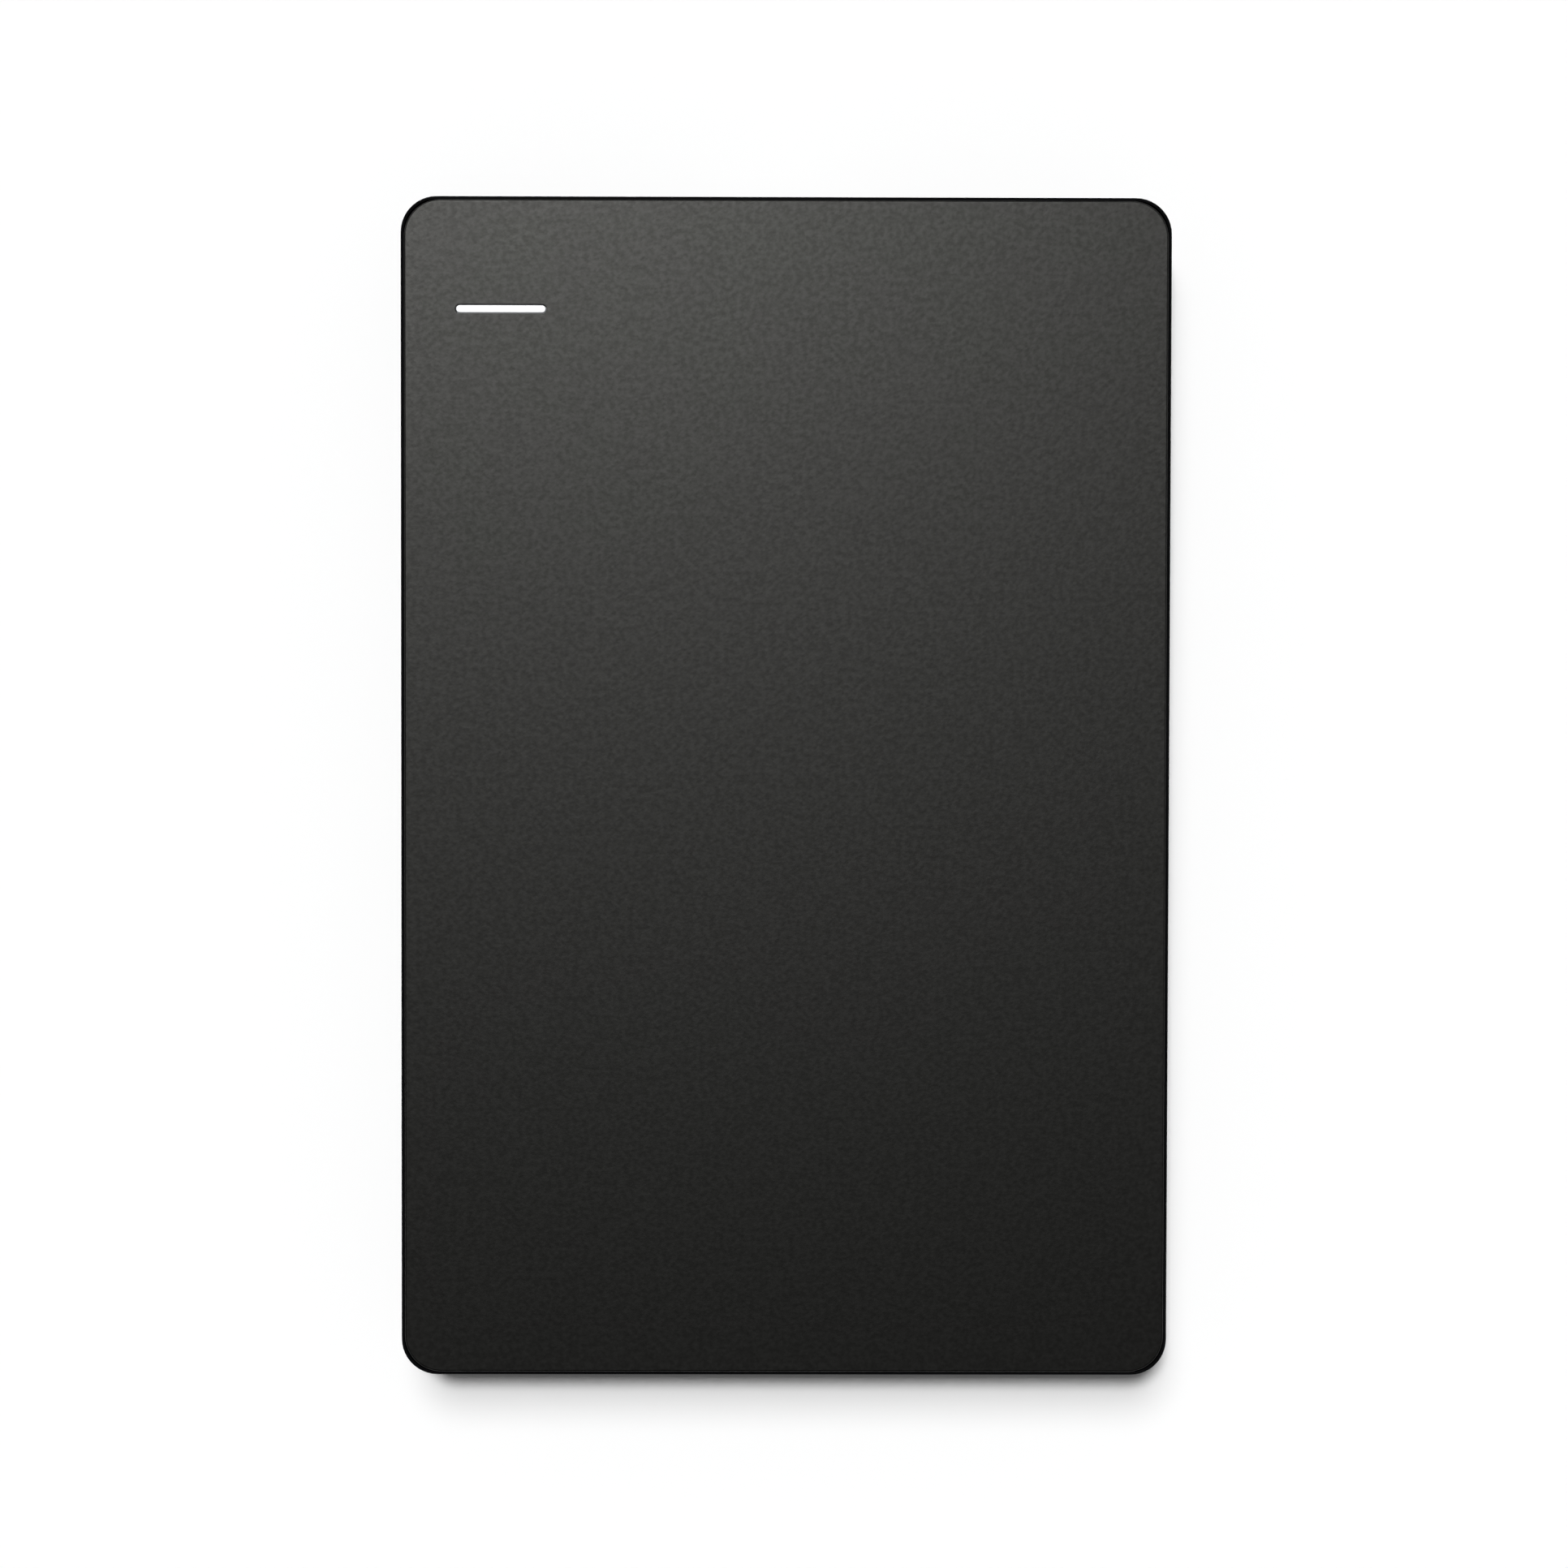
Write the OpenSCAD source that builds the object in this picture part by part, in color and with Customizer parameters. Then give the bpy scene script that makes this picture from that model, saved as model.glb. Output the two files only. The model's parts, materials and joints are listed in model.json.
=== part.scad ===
// Portable external hard drive. A flat moulded housing in two shells carries a
// bonded front plate, four rubber feet and a light bar. It holds a bridge board
// with a port, and a 2.5 inch drive that hangs in four rubber corner bumpers.
// It lies on its feet, front plate up, with the port end towards +Y.

/* [Housing] */
// Thickness of the moulded side walls
wall = 1.5; // [1.2:0.1:2.2]
// Thickness of the rear shell's floor
floor_t = 1.2; // [1:0.1:2]
// Thickness of the deck that carries the front plate
deck_t = 0.8; // [0.6:0.1:1.6]
// Radius of the four upright corners
corner_r = 3.55; // [2.8:0.05:8]
// Radius of the rear shell's lower edge
tub_edge = 2.4; // [1.6:0.1:2.8]
// Height from the parting line to the top of the front plate
split_drop = 3.2; // [2.6:0.1:3.8]
// Width of the lip round the front plate
rim_w = 0.3; // [0.25:0.05:1.2]
// Height of the front plate above that lip
rim_drop = 0.3; // [0.1:0.05:0.5]
// Depth and height of the fine groove along the parting line
groove = 0.25; // [0.1:0.05:0.4]

/* [Front plate] */
// Thickness of the front plate
plate_t = 0.8; // [0.6:0.1:1.5]
// Rounding of the front plate's upper edge
plate_edge = 0.15; // [0.1:0.05:0.4]
// Thickness of the adhesive sheet under it
glue_t = 0.2; // [0.1:0.05:0.4]

/* [Light bar] */
// Length of the light bar
bar_l = 8.8; // [4:0.2:9.4]
// Width of the light bar
bar_w = 0.72; // [0.5:0.02:1.2]
// Distance of its centre from the left side
bar_from_side = 9.9; // [8.4:0.1:11]
// Distance of its centre from the bridge board's inner edge
bar_from_edge = 0.6; // [0.6:0.1:1.2]

/* [Feet] */
// Diameter of each foot
foot_d = 8; // [5:0.5:10]
// Height of a foot outside its recess
foot_proud = 0.5; // [0.3:0.1:1]
// Depth of a foot's recess
foot_sunk = 0.4; // [0.2:0.1:0.6]
// Distance of a foot's centre from the sides
foot_inset = 9; // [8:0.5:14]

/* [Port and boards] */
// Width of the port's opening
port_w = 12.25; // [12:0.05:12.6]
// Height of the port's opening
port_h = 1.9; // [1.8:0.05:2.1]
// Thickness of the port's folded sheet
port_sheet = 0.3; // [0.2:0.05:0.35]
// Depth of the port's shell
port_depth = 6.9; // [6.6:0.1:7.1]
// Distance of the port's face behind the end wall
port_setback = 0.5; // [0.2:0.1:0.9]
// Thickness of the bridge board
board_t = 1; // [0.8:0.1:1.2]
// Length of the bridge board along the housing
board_l = 9.8; // [9.6:0.1:12]
// Height of the board's posts above the floor
board_stand = 1.7; // [1.5:0.1:2]
// Middle of the drive's connector, across the drive
sata_x = -4.8; // [-5.4:0.1:-3.4]
// Width of the bridge board's connector
sata_w = 36; // [35.4:0.1:37]

/* [Bumpers] */
// Space between drive and side wall
side_gap = 1.575; // [1:0.025:4]
// Space between drive and far end wall
end_gap = 0.5; // [0.4:0.1:3]
// Space above and below the drive
pad_t = 0.8; // [0.7:0.05:2]
// Length that each bumper reaches along the drive's edges
bumper_reach = 12; // [7:0.5:12.5]

/* [Disk stack] */
// Diameter of the disk
platter_d = 65; // [62:0.5:66]
// Bore of the disk
platter_bore = 20; // [19:0.5:21]
// Thickness of the disk
platter_t = 0.8; // [0.6:0.05:1.3]
// Diameter of the spindle shaft
shaft_d = 3; // [2.6:0.1:3.4]
// Radial clearance of both bearings
running_gap = 0.05; // [0.02:0.01:0.08]
// Number of motor coils
coil_count = 9; // [6:3:9]

/* [Head arm] */
// Arm pivot from the spindle, across the drive
pivot_dx = 14; // [13:0.5:14.5]
// Arm pivot from the spindle, along the drive
pivot_dy = 39.6; // [39:0.2:42]
// Distance from the pivot to the heads
arm_reach = 36; // [35:0.25:37]
// Distance from the disk's edge to the parked heads
park_gap = 2; // [1.8:0.1:2.2]
// Radius of the innermost track
inner_track_r = 15.3; // [15:0.1:20]
// Thickness of each arm
arm_t = 0.6; // [0.5:0.05:0.8]
// Space between an arm and what it passes
arm_gap = 0.3; // [0.25:0.05:0.5]

/* [Drive housing] */
// Least thickness of the drive's side walls
base_wall = 1.625; // [1.4:0.025:3]
// Thickness of the sheet under arm and disk
base_web = 0.8; // [0.6:0.1:1.5]
// Thickness of the drive's stamped cover
cover_t = 0.4; // [0.3:0.05:0.6]
// Thickness of the cover's gasket
gasket_t = 0.2; // [0.15:0.05:0.3]
// Thickness of the drive board
pcb_t = 0.8; // [0.6:0.1:1]
// Height of the tallest chip on the drive board
chip_t = 0.9; // [0.7:0.1:1.2]

/* [Hidden] */
$fn = 96;

// Cuts run past the face that they open by this much
past = 1;
// Clearance between parts that are pressed or glued together
seat = 0.02;
// Clearance of the bumpers in the housing
bumper_fit = 0.05;
// Clearance between plugged or inserted parts
fit = 0.1;

// Levels inside the drive, from its underside
pcb_lift = 0.3;
chip_air = 0.2;
pcb_top = pcb_lift + pcb_t;
recess_top = pcb_top + chip_t + chip_air;
base_floor = recess_top + base_web;
arm_low = base_floor + arm_gap;
platter_low = arm_low + arm_t + arm_gap;
platter_top = platter_low + platter_t;
arm_high = platter_top + arm_gap;
head_room = 0.5;
base_top = arm_high + arm_t + head_room;
cover_low = base_top + gasket_t;
drive_t = cover_low + cover_t;

// Disk, motor and arm places, from the middle of the drive's far end
platter_r = platter_d / 2;
well_r = platter_r + 0.8;
yoke_out = 17;
yoke_in = 5.6;
wall_air = 1.275;
end_wall = 1.5;
plug_bay = 6.05;
pivot_span = norm([pivot_dx, pivot_dy]);
spindle_y = base_wall + well_r;
pivot_y = spindle_y + pivot_dy;
chamber_end = pivot_y + yoke_out + wall_air;
notch_start = chamber_end + end_wall;
drive_l = notch_start + plug_bay;

// Directions of the arm, by the law of cosines
park_r = platter_r + park_gap;
to_spindle = atan2(-pivot_dy, -pivot_dx) + 360;
reach_sq = pow(pivot_span, 2) + pow(arm_reach, 2);
park_dir = to_spindle - acos((reach_sq - pow(park_r, 2)) / (2 * pivot_span * arm_reach));
inner_dir = to_spindle - acos((reach_sq - pow(inner_track_r, 2)) / (2 * pivot_span * arm_reach));
coil_dir = park_dir - 180;
swing = inner_dir - park_dir;

// Width of the drive, round its disk, its magnets or its ramp
tab_end = arm_reach + 2.6;
ramp_in = arm_reach + 0.8;
ramp_out = arm_reach + 6;
chamber_x0 = pivot_dx + ramp_out * cos(park_dir) - 1.7;
half_room = max(well_r, pivot_dx + yoke_out + 1, 5 - chamber_x0);
drive_w = 2 * (half_room + base_wall);

// Housing, wrapped round drive and bridge board
board_offset = 2.55;
foil_t = 0.1;
foil_w = 26;
foil_from_sata = 15;
foil_under_board = 5.4;
foil_start = 8;
board_end_gap = 0.4;
inner_w = drive_w + 2 * side_gap;
inner_l = end_gap + drive_l + board_offset + board_l + board_end_gap;
body_w = inner_w + 2 * wall;
body_l = inner_l + 2 * wall;
edge_r = min(tub_edge, corner_r - 0.2);
inner_r = max(corner_r - wall, 0.6);
inner_edge = min(max(edge_r - wall, 0.3), inner_r - 0.2);

// Levels of the housing, from the surface that it stands on
shell_z = foot_proud;
floor_z = shell_z + floor_t;
drive_z = floor_z + pad_t;
deck_low = drive_z + drive_t + pad_t;
deck_z = deck_low + deck_t;
plate_z = deck_z + glue_t;
top_z = plate_z + plate_t;
rim_z = top_z - rim_drop;
split_z = top_z - split_drop;

// Places along the housing
far_wall_y = -body_l / 2 + wall;
drive_y = far_wall_y + end_gap;
drive_end = drive_y + drive_l;
port_wall_y = body_l / 2 - wall;
board_y0 = drive_end + board_offset;
board_y1 = board_y0 + board_l;

// Front plate and what is under it
plate_gap = 0.05;
rim_flat = 0.05;
plate_inset = rim_w + plate_gap;
glue_inset = 1;

// Joint between the shells
tongue_t = 0.65;
tongue_h = 1.2;
tongue_gap = 0.1;
snap_l = 5;
snap_out = 0.3;
snap_h = 0.6;
snap_up = 0.1;
rib_t = 0.8;
rib_h = 0.4;
rib_half = 20;
upright_w = 8.5;
upright_t = 0.7;
bumper_end = 1.5;

// Light bar
bar_gap = 0.1;
bar_x = -body_w / 2 + bar_from_side;
bar_y = board_y0 + bar_from_edge;
flange_t = 0.6;
flange_l = bar_l + 2;
flange_w = bar_w + 1.68;
led_l = 1.6;
led_w = 0.8;
led_t = 0.8;

// Bridge board, its posts and its port
board_z = floor_z + board_stand;
board_top = board_z + board_t;
board_x0 = -inner_w / 2 + 3;
board_x1 = sata_x + sata_w / 2 + 1.8;
post_d = 3;
pin_d = 1.6;
post_left_x = board_x0 + 2;
post_right_x = board_x1 - 2.6;
post_y = board_y1 - 2.9;
port_z = board_top + port_sheet + port_h / 2;
port_face_y = body_l / 2 - port_setback;
port_back_y = port_face_y - port_depth;
port_notch = 1;
port_narrow = 4.45;
port_wide = port_w - port_notch - port_narrow;
port_notch_h = 0.75;
port_bevel = 0.6;
window_gap = 0.3;
leg_l = 1.2;
leg_places = [1.4, 3.9];
leg_down = 0.9;
blade_t = 0.6;
contact_t = 0.1;

// Chips: size, and place from the light bar and the bridge board's outer edge
bridge_w = 5;
bridge_h = 0.9;
bridge_at = [10.1, -3.4];
flash_size = [4.6, 3.6, 1.4];
flash_at = [1.1, -3.2];
crystal_size = [3.2, 2.5, 0.8];
crystal_at = [17.5, -3.4];

// Chips on the drive board: size, and place from the arm's pivot
controller_w = 11;
controller_at = [-8, -3];
memory_size = [10, 7];
memory_at = [9, -9];
driver_w = 7;
driver_at = [12, 7];

// Connector between drive and bridge board
plug_wall = 1;
plug_ear = 1.2;
plug_w = sata_w + 2 * (plug_ear + fit);
sata_seat = 2.8;
plug_top = 6.2;
blade_low = 3;
sata_blade_t = 1.2;
signal_w = 10.4;
blade_space = 2.4;
blade_margin = 1.3;
key_w = 1;
key_h = 0.8;
power_w = sata_w - signal_w - blade_space - 2 * blade_margin;
plug_back_y = notch_start + 0.2;
plug_face_y = plug_back_y + plug_wall;
receptacle_y = drive_y + plug_face_y + 0.2;

// Screws of the drive
screw_d = 1.6;
head_d = 3.2;
socket_d = 1.4;
cup_d = 4.4;
cup_sink = 0.2;
screw_x = drive_w / 2 - 3.725;
screw_near_y = 4.4;
screw_mid_y = pivot_y - 16.025;
screw_end_y = drive_l - 3.5;
board_screw_x = drive_w / 2 - 5.425;
board_screw_low = 4.2;
board_screw_high = 2.3;
board_boss_d = 3.6;
recess_side = 2.425;
recess_before = 7.5;
board_side = 3.9;
board_before = 6.5;
board_after = 0.7;

// Blind mounting holes in the drive's sides, from its connector end
side_holes = [14, 90.6];
side_hole_d = 2.5;
side_hole_z = 3;
side_hole_deep = 1.5;
screw_grip = 3;
hole_grip = 3.2;

// Spindle motor
motor_floor = 0.9;
hub_r = platter_bore / 2 + 2.2;
motor_r = hub_r + 0.6;
boss_r = shaft_d / 2 + 2.9;
sleeve_r = shaft_d / 2 + 2.13;
skirt_t = 1.2;
disk_fit = 0.05;
hub_top = platter_top - disk_fit;
shaft_air = 0.15;
thread_deep = 1.8;
sleeve_proud = 0.4;
clamp_top = platter_top + 0.5;
hub_roof = base_floor + 0.6;
magnet_r = hub_r - skirt_t - seat;
magnet_t = 1.28;
stator_r = magnet_r - magnet_t - 0.3;
core_z = base_floor - 1.1;
core_h = 1;
tooth_w = 1.2;
winding_t = 0.65;

// Arm, coil and magnets, from the arm's pivot
arm_hub_r = 5;
arm_root_w = 8.4;
arm_tip_w = 4.4;
arm_hole_d = 2.4;
pivot_sleeve_r = 3.18;
pivot_post_r = 1.6;
post_foot_d = 2;
arm_len = 25;
load_start = 20;
coil_half = 5.2;
coil_far = 15.2;
fork_half = 6.5;
fork_start = 3.5;
fork_root = 6.1;
coil_near = fork_root + fit / 2;
coil_band = 2.6;
coil_r = 1.5;
fork_t = fork_half - coil_half - fit;
coil_low = platter_low;
coil_t = 0.8;
yoke_t = 0.5;
yoke_post_d = 1.8;
yoke_rivet_d = 1.2;
magnet_h = 0.5;
lower_magnet_z = base_floor + yoke_t;
upper_magnet_z = coil_low + coil_t + 0.2;
upper_yoke_z = upper_magnet_z + magnet_h;
stop_r = 1.5;
stop_at = 13;
stop_air = 0.12;
stop_angle = asin((fork_half + stop_r + stop_air) / stop_at);
post_from = coil_dir - stop_angle;
post_to = coil_dir + swing + stop_angle;
yoke_margin = 7;
load_t = 0.1;
head_air = 0.05;
slider_l = 1.2;
slider_w = 0.9;
ramp_back = 2.3;
ramp_flat = 0.5;
ramp_tip = 1.8;
ramp_air = 0.8;
chamber_low = pivot_y - 12;
chamber_r = 3;
base_r = 1;
throat_x1 = pivot_dx + 6;
breather_x = chamber_x0 + 7.5;
breather_y = chamber_end - 4.8;
breather_d = 5.6;
breather_t = 0.8;
filter_at = [4, 2.3];
filter_size = [6, 2.4];

// Colours
black_plastic = "#161617";
anthracite = "#3f3f3e";
circuit_green = "#1f5a3a";
steel = "#b9bcc0";
cast_metal = "#8f9499";
chip_black = "#232325";
copper = "#b8693a";
gold = "#d4af55";

// Flat rectangle with round corners, about the origin
module round_rect(w, l, r) {
    square([w - 2 * r, l], center = true);
    square([w, l - 2 * r], center = true);
    for (x = [-1, 1], y = [-1, 1])
        translate([x * (w / 2 - r), y * (l / 2 - r)]) circle(r = r);
}

// Half section of a slab's edge, from a corner's centre outwards
module edge_section(r, h, low, high) {
    translate([0, low]) square([r, h - low - high]);
    if (low > 0) {
        square([r - low, low]);
        translate([r - low, low]) intersection() {
            circle(r = low);
            translate([0, -low]) square([low, low]);
        }
    }
    if (high > 0) {
        translate([0, h - high]) square([r - high, high]);
        translate([r - high, h - high]) intersection() {
            circle(r = high);
            square([high, high]);
        }
    }
}

// Slab with round corners, and round lower and upper edges where asked
module slab(w, l, h, r, low, high) {
    span = [w - 2 * r, l - 2 * r];
    translate([-span.x / 2, -span.y / 2, 0]) cube([span.x, span.y, h]);
    for (side = [0:3]) {
        along = side % 2 == 0 ? span.y : span.x;
        out = side % 2 == 0 ? span.x : span.y;
        rotate([0, 0, 90 * side]) {
            translate([out / 2, along / 2, 0]) rotate([90, 0, 0])
                linear_extrude(along) edge_section(r, h, low, high);
            translate([out / 2, along / 2, 0])
                rotate_extrude(angle = 90) edge_section(r, h, low, high);
        }
    }
}

// Slot with round ends
module slot(l, w, h) {
    translate([-(l - w) / 2, -w / 2, 0]) cube([l - w, w, h]);
    for (x = [-1, 1]) translate([x * (l - w) / 2, 0, 0]) cylinder(d = w, h = h);
}

// Part of a ring between two directions
module sector(r_in, r_out, from, to, h) {
    rotate([0, 0, from]) rotate_extrude(angle = to - from)
        translate([r_in, 0]) square([r_out - r_in, h]);
}

// Block that is given by its low and high corners
module block(low, high) {
    translate(low) cube(high - low);
}

module in_drive() {
    translate([0, drive_y, drive_z]) children();
}

module at_spindle() {
    in_drive() translate([0, spindle_y, 0]) children();
}

module at_pivot() {
    in_drive() translate([pivot_dx, pivot_y, 0]) children();
}

module at_arm() {
    at_pivot() rotate([0, 0, park_dir]) children();
}

module at_coil() {
    at_pivot() rotate([0, 0, coil_dir]) children();
}

module at_feet() {
    for (x = [-1, 1], y = [-1, 1])
        translate([x * (body_w / 2 - foot_inset), y * (body_l / 2 - foot_inset), 0]) children();
}

module at_snaps() {
    for (x = [-1, 1], y = [-0.3, 0, 0.3]) translate([x * inner_w / 2, y * inner_l, split_z])
        rotate([0, 0, x > 0 ? 0 : 180]) children();
    for (x = [-0.3, 0.3], y = [-1, 1]) translate([x * inner_w, y * inner_l / 2, split_z])
        rotate([0, 0, 90 * y]) children();
}

module at_cover_screws() {
    for (x = [-1, 1], y = [screw_near_y, screw_mid_y, screw_end_y])
        translate([x * screw_x, y, 0]) children();
}

module at_board_screws() {
    low_y = screw_mid_y - board_screw_low;
    high_y = chamber_end - board_screw_high;
    for (p = [[-1, low_y], [1, low_y], [-1, high_y]])
        translate([p.x * board_screw_x, p.y, 0]) children();
}

// Space inside the rear shell, less a clearance all round
module cavity(gap, h) {
    translate([0, 0, floor_z + gap])
        slab(inner_w - 2 * gap, inner_l - 2 * gap, h, inner_r, inner_edge, 0);
}

// Section of the port, grown outwards by a sheet's thickness
function port_outline(grow) =
    let (
        left = -port_w / 2 - grow,
        wide_end = -port_w / 2 + port_wide + grow,
        narrow_start = -port_w / 2 + port_wide + port_notch - grow,
        right = port_w / 2 + grow,
        low = -port_h / 2 - grow,
        high = port_h / 2 + grow,
        notch_top = -port_h / 2 + port_notch_h - grow
    )
    [
        [left, low + port_bevel], [left + port_bevel, low],
        [wide_end - port_bevel, low], [wide_end, low + port_bevel],
        [wide_end, notch_top], [narrow_start, notch_top],
        [narrow_start, low], [right, low], [right, high], [left, high]
    ];

// Port section drawn from one place along the housing to another
module port_run(grow, y_from, y_to) {
    translate([0, y_to, port_z]) rotate([90, 0, 0])
        linear_extrude(y_to - y_from) polygon(port_outline(grow));
}

module front_plate() {
    color(anthracite) difference() {
        translate([0, 0, plate_z]) slab(
            body_w - 2 * plate_inset, body_l - 2 * plate_inset, plate_t,
            corner_r - plate_inset, 0, plate_edge
        );
        translate([bar_x, bar_y, plate_z - past])
            slot(bar_l + 2 * bar_gap, bar_w + 2 * bar_gap, plate_t + 2 * past);
    }
}

module plate_adhesive() {
    inset = plate_inset + glue_inset;
    color("#e8e4d8") difference() {
        translate([0, 0, deck_z]) linear_extrude(glue_t)
            round_rect(body_w - 2 * inset, body_l - 2 * inset, corner_r - plate_inset - 0.5);
        translate([bar_x, bar_y, deck_z - past])
            slot(bar_l + 1, bar_w + 1, glue_t + 2 * past);
    }
}

// Snap ridge on the tongue, wedge shaped so that it rides in
module snap_ridge() {
    out = tongue_t + snap_out;
    translate([0, snap_l / 2, -tongue_h + snap_up]) rotate([90, 0, 0]) linear_extrude(snap_l)
        polygon([
            [tongue_t / 2, 0], [tongue_t, 0], [out, snap_h * 0.6], [out, snap_h],
            [tongue_t / 2, snap_h]
        ]);
}

module upper_shell() {
    inset = body_w / 2 - rim_w;
    color(black_plastic) difference() {
        union() {
            difference() {
                translate([0, 0, split_z])
                    slab(body_w, body_l, rim_z - split_z, corner_r, 0, rim_w - rim_flat);
                translate([0, 0, split_z - past]) linear_extrude(deck_low - split_z + past)
                    round_rect(inner_w, inner_l, inner_r);
                translate([0, 0, deck_z]) linear_extrude(rim_z - deck_z + past)
                    round_rect(2 * inset, body_l - 2 * rim_w, corner_r - rim_w);
                translate([0, 0, split_z - past]) linear_extrude(groove + past) difference() {
                    square([body_w + 2 * past, body_l + 2 * past], center = true);
                    round_rect(body_w - 2 * groove, body_l - 2 * groove, corner_r - groove);
                }
            }
            translate([0, 0, split_z - tongue_h]) linear_extrude(tongue_h) difference() {
                round_rect(inner_w + 2 * tongue_t, inner_l + 2 * tongue_t, inner_r + tongue_t);
                round_rect(inner_w, inner_l, inner_r);
            }
            at_snaps() snap_ridge();
            for (y = [-0.24, -0.08, 0.08, 0.24]) translate([0, y * inner_l, deck_low - rib_h / 2])
                cube([2 * rib_half, rib_t, rib_h], center = true);
        }
        translate([bar_x, bar_y, deck_low - past])
            slot(bar_l + 2 * bar_gap, bar_w + 2 * bar_gap, deck_t + 2 * past);
    }
}

module rear_shell() {
    color(black_plastic) difference() {
        union() {
            difference() {
                translate([0, 0, shell_z])
                    slab(body_w, body_l, split_z - shell_z, corner_r, edge_r, 0);
                cavity(0, split_z - floor_z + past);
                translate([0, 0, split_z - tongue_h - tongue_gap])
                    linear_extrude(tongue_h + tongue_gap + past) round_rect(
                        inner_w + 2 * (tongue_t + tongue_gap),
                        inner_l + 2 * (tongue_t + tongue_gap),
                        inner_r + tongue_t + tongue_gap
                    );
            }
            shell_ribs();
            board_posts();
        }
        at_snaps() block(
            [tongue_t, -snap_l / 2 - fit, -tongue_h],
            [tongue_t + snap_out + fit, snap_l / 2 + fit, -tongue_h + snap_h + 2 * snap_up]
        );
        at_feet() cylinder(d = foot_d + 2 * fit, h = shell_z + foot_sunk);
        port_window();
    }
}

// Low ribs under the drive, and upright ones behind its port end bumpers
module shell_ribs() {
    for (y = [-0.36, -0.24, -0.12])
        translate([0, y * inner_l, floor_z + rib_h / 2])
            cube([2 * rib_half, rib_t, rib_h], center = true);
    rib_y = drive_end + bumper_end + fit;
    reach = inner_w / 2 - upright_w;
    for (x = [-1, 1]) block(
        [x > 0 ? reach : -inner_w / 2 - fit, rib_y, floor_z - fit],
        [x > 0 ? inner_w / 2 + fit : -reach, rib_y + upright_t, split_z - tongue_h - 5 * fit]
    );
}

module board_posts() {
    for (x = [post_left_x, post_right_x]) translate([x, post_y, floor_z - fit]) {
        cylinder(d = post_d, h = board_stand + fit);
        cylinder(d = pin_d, h = board_stand + fit + board_t + 0.3);
    }
}

module port_window() {
    w = port_w + 2 * (port_sheet + window_gap);
    h = port_h + 2 * (port_sheet + window_gap);
    translate([0, port_wall_y - past, port_z]) rotate([-90, 0, 0])
        linear_extrude(wall + 2 * past) round_rect(w, h, 0.6);
}

// Light guide: flush bar, glued flange and a stem that narrows to the lamp beside the connector
module light_pipe() {
    stem_low = board_top + led_t + fit;
    stem_top = deck_low - flange_t;
    stem_wide = stem_top - 0.8;
    low_half = led_l * 0.6;
    knee_z = drive_z + plug_top;
    straight = low_half + (bar_l / 2 - low_half) * (knee_z - stem_low) / (stem_wide - stem_low);
    knee_half = min(straight, sata_x - sata_w / 2 - bar_x - 2 * fit);
    color("#f4f6f8") translate([bar_x, bar_y, 0]) {
        translate([0, 0, deck_low - flange_t / 2]) slot(bar_l, bar_w, top_z - deck_low + flange_t / 2);
        translate([0, 0, stem_top]) linear_extrude(flange_t) round_rect(flange_l, flange_w, 0.6);
        translate([0, bar_w / 2, 0]) rotate([90, 0, 0]) linear_extrude(bar_w) polygon([
            [-low_half, stem_low], [low_half, stem_low],
            [knee_half, knee_z], [bar_l / 2, stem_wide], [bar_l / 2, stem_top + fit],
            [-bar_l / 2, stem_top + fit], [-bar_l / 2, stem_wide]
        ]);
    }
}

// Rubber foot with a round lower edge
module foot(x, y) {
    h = foot_proud + foot_sunk;
    color("#1b1b1b")
        translate([x * (body_w / 2 - foot_inset), y * (body_l / 2 - foot_inset), 0])
            rotate_extrude() edge_section(foot_d / 2, h, min(0.3, foot_proud * 0.8), 0);
}

// Rubber corner that wraps one end of the drive and fills the housing to it
module bumper(x, port_end) {
    reach_x = drive_w / 2 - bumper_reach;
    y_low = port_end ? drive_end - bumper_reach : far_wall_y - past;
    y_high = port_end ? drive_end + bumper_end : drive_y + bumper_reach;
    color("#3a3c40") difference() {
        intersection() {
            cavity(bumper_fit, deck_low - floor_z - 2 * bumper_fit);
            block(
                [x > 0 ? reach_x : -inner_w, y_low, floor_z - past],
                [x > 0 ? inner_w : -reach_x, y_high, deck_low + past]
            );
        }
        in_drive() block([-drive_w / 2, 0, 0], [drive_w / 2, drive_l, drive_t]);
        if (port_end) bumper_notch(x);
    }
}

// Room for the drive's connector beside a port end bumper
module bumper_notch(x) {
    inner = drive_w / 2 - bumper_reach;
    clear_x = x > 0 ? sata_x + plug_w / 2 + fit : sata_x - plug_w / 2 - fit;
    block(
        [x > 0 ? inner - past : clear_x, drive_end - past, drive_z],
        [x > 0 ? clear_x : -inner + past, drive_end + bumper_end + past, drive_z + drive_t]
    );
}

// Foil that runs under the drive's board and folds up to the bridge board
module shield_foil() {
    bend_y = board_y0 + 3 * foil_t;
    start_y = drive_y + screw_mid_y - foil_start;
    end_y = board_y0 + foil_under_board;
    low = drive_z - foil_t;
    high = board_z - foil_t;
    color("#c9b37a") translate([sata_x - foil_from_sata, 0, 0]) rotate([90, 0, 90])
        linear_extrude(foil_w) polygon([
            [start_y, low], [bend_y + foil_t, low], [bend_y + foil_t, high],
            [end_y, high], [end_y, board_z], [bend_y, board_z],
            [bend_y, drive_z], [start_y, drive_z]
        ]);
}

module bridge_board() {
    color(circuit_green) difference() {
        block([board_x0, board_y0, board_z], [board_x1, board_y1, board_top]);
        for (x = [post_left_x, post_right_x]) translate([x, post_y, board_z - past])
            cylinder(d = pin_d + 2 * fit, h = board_t + 2 * past);
        at_port_legs() block(
            [-fit, -fit, -board_t - past], [port_sheet + fit, leg_l + fit, past]
        );
    }
}

module at_port_legs() {
    for (x = [-port_w / 2 - port_sheet, port_w / 2], y = leg_places)
        translate([x, port_back_y + y, board_top]) children();
}

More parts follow.
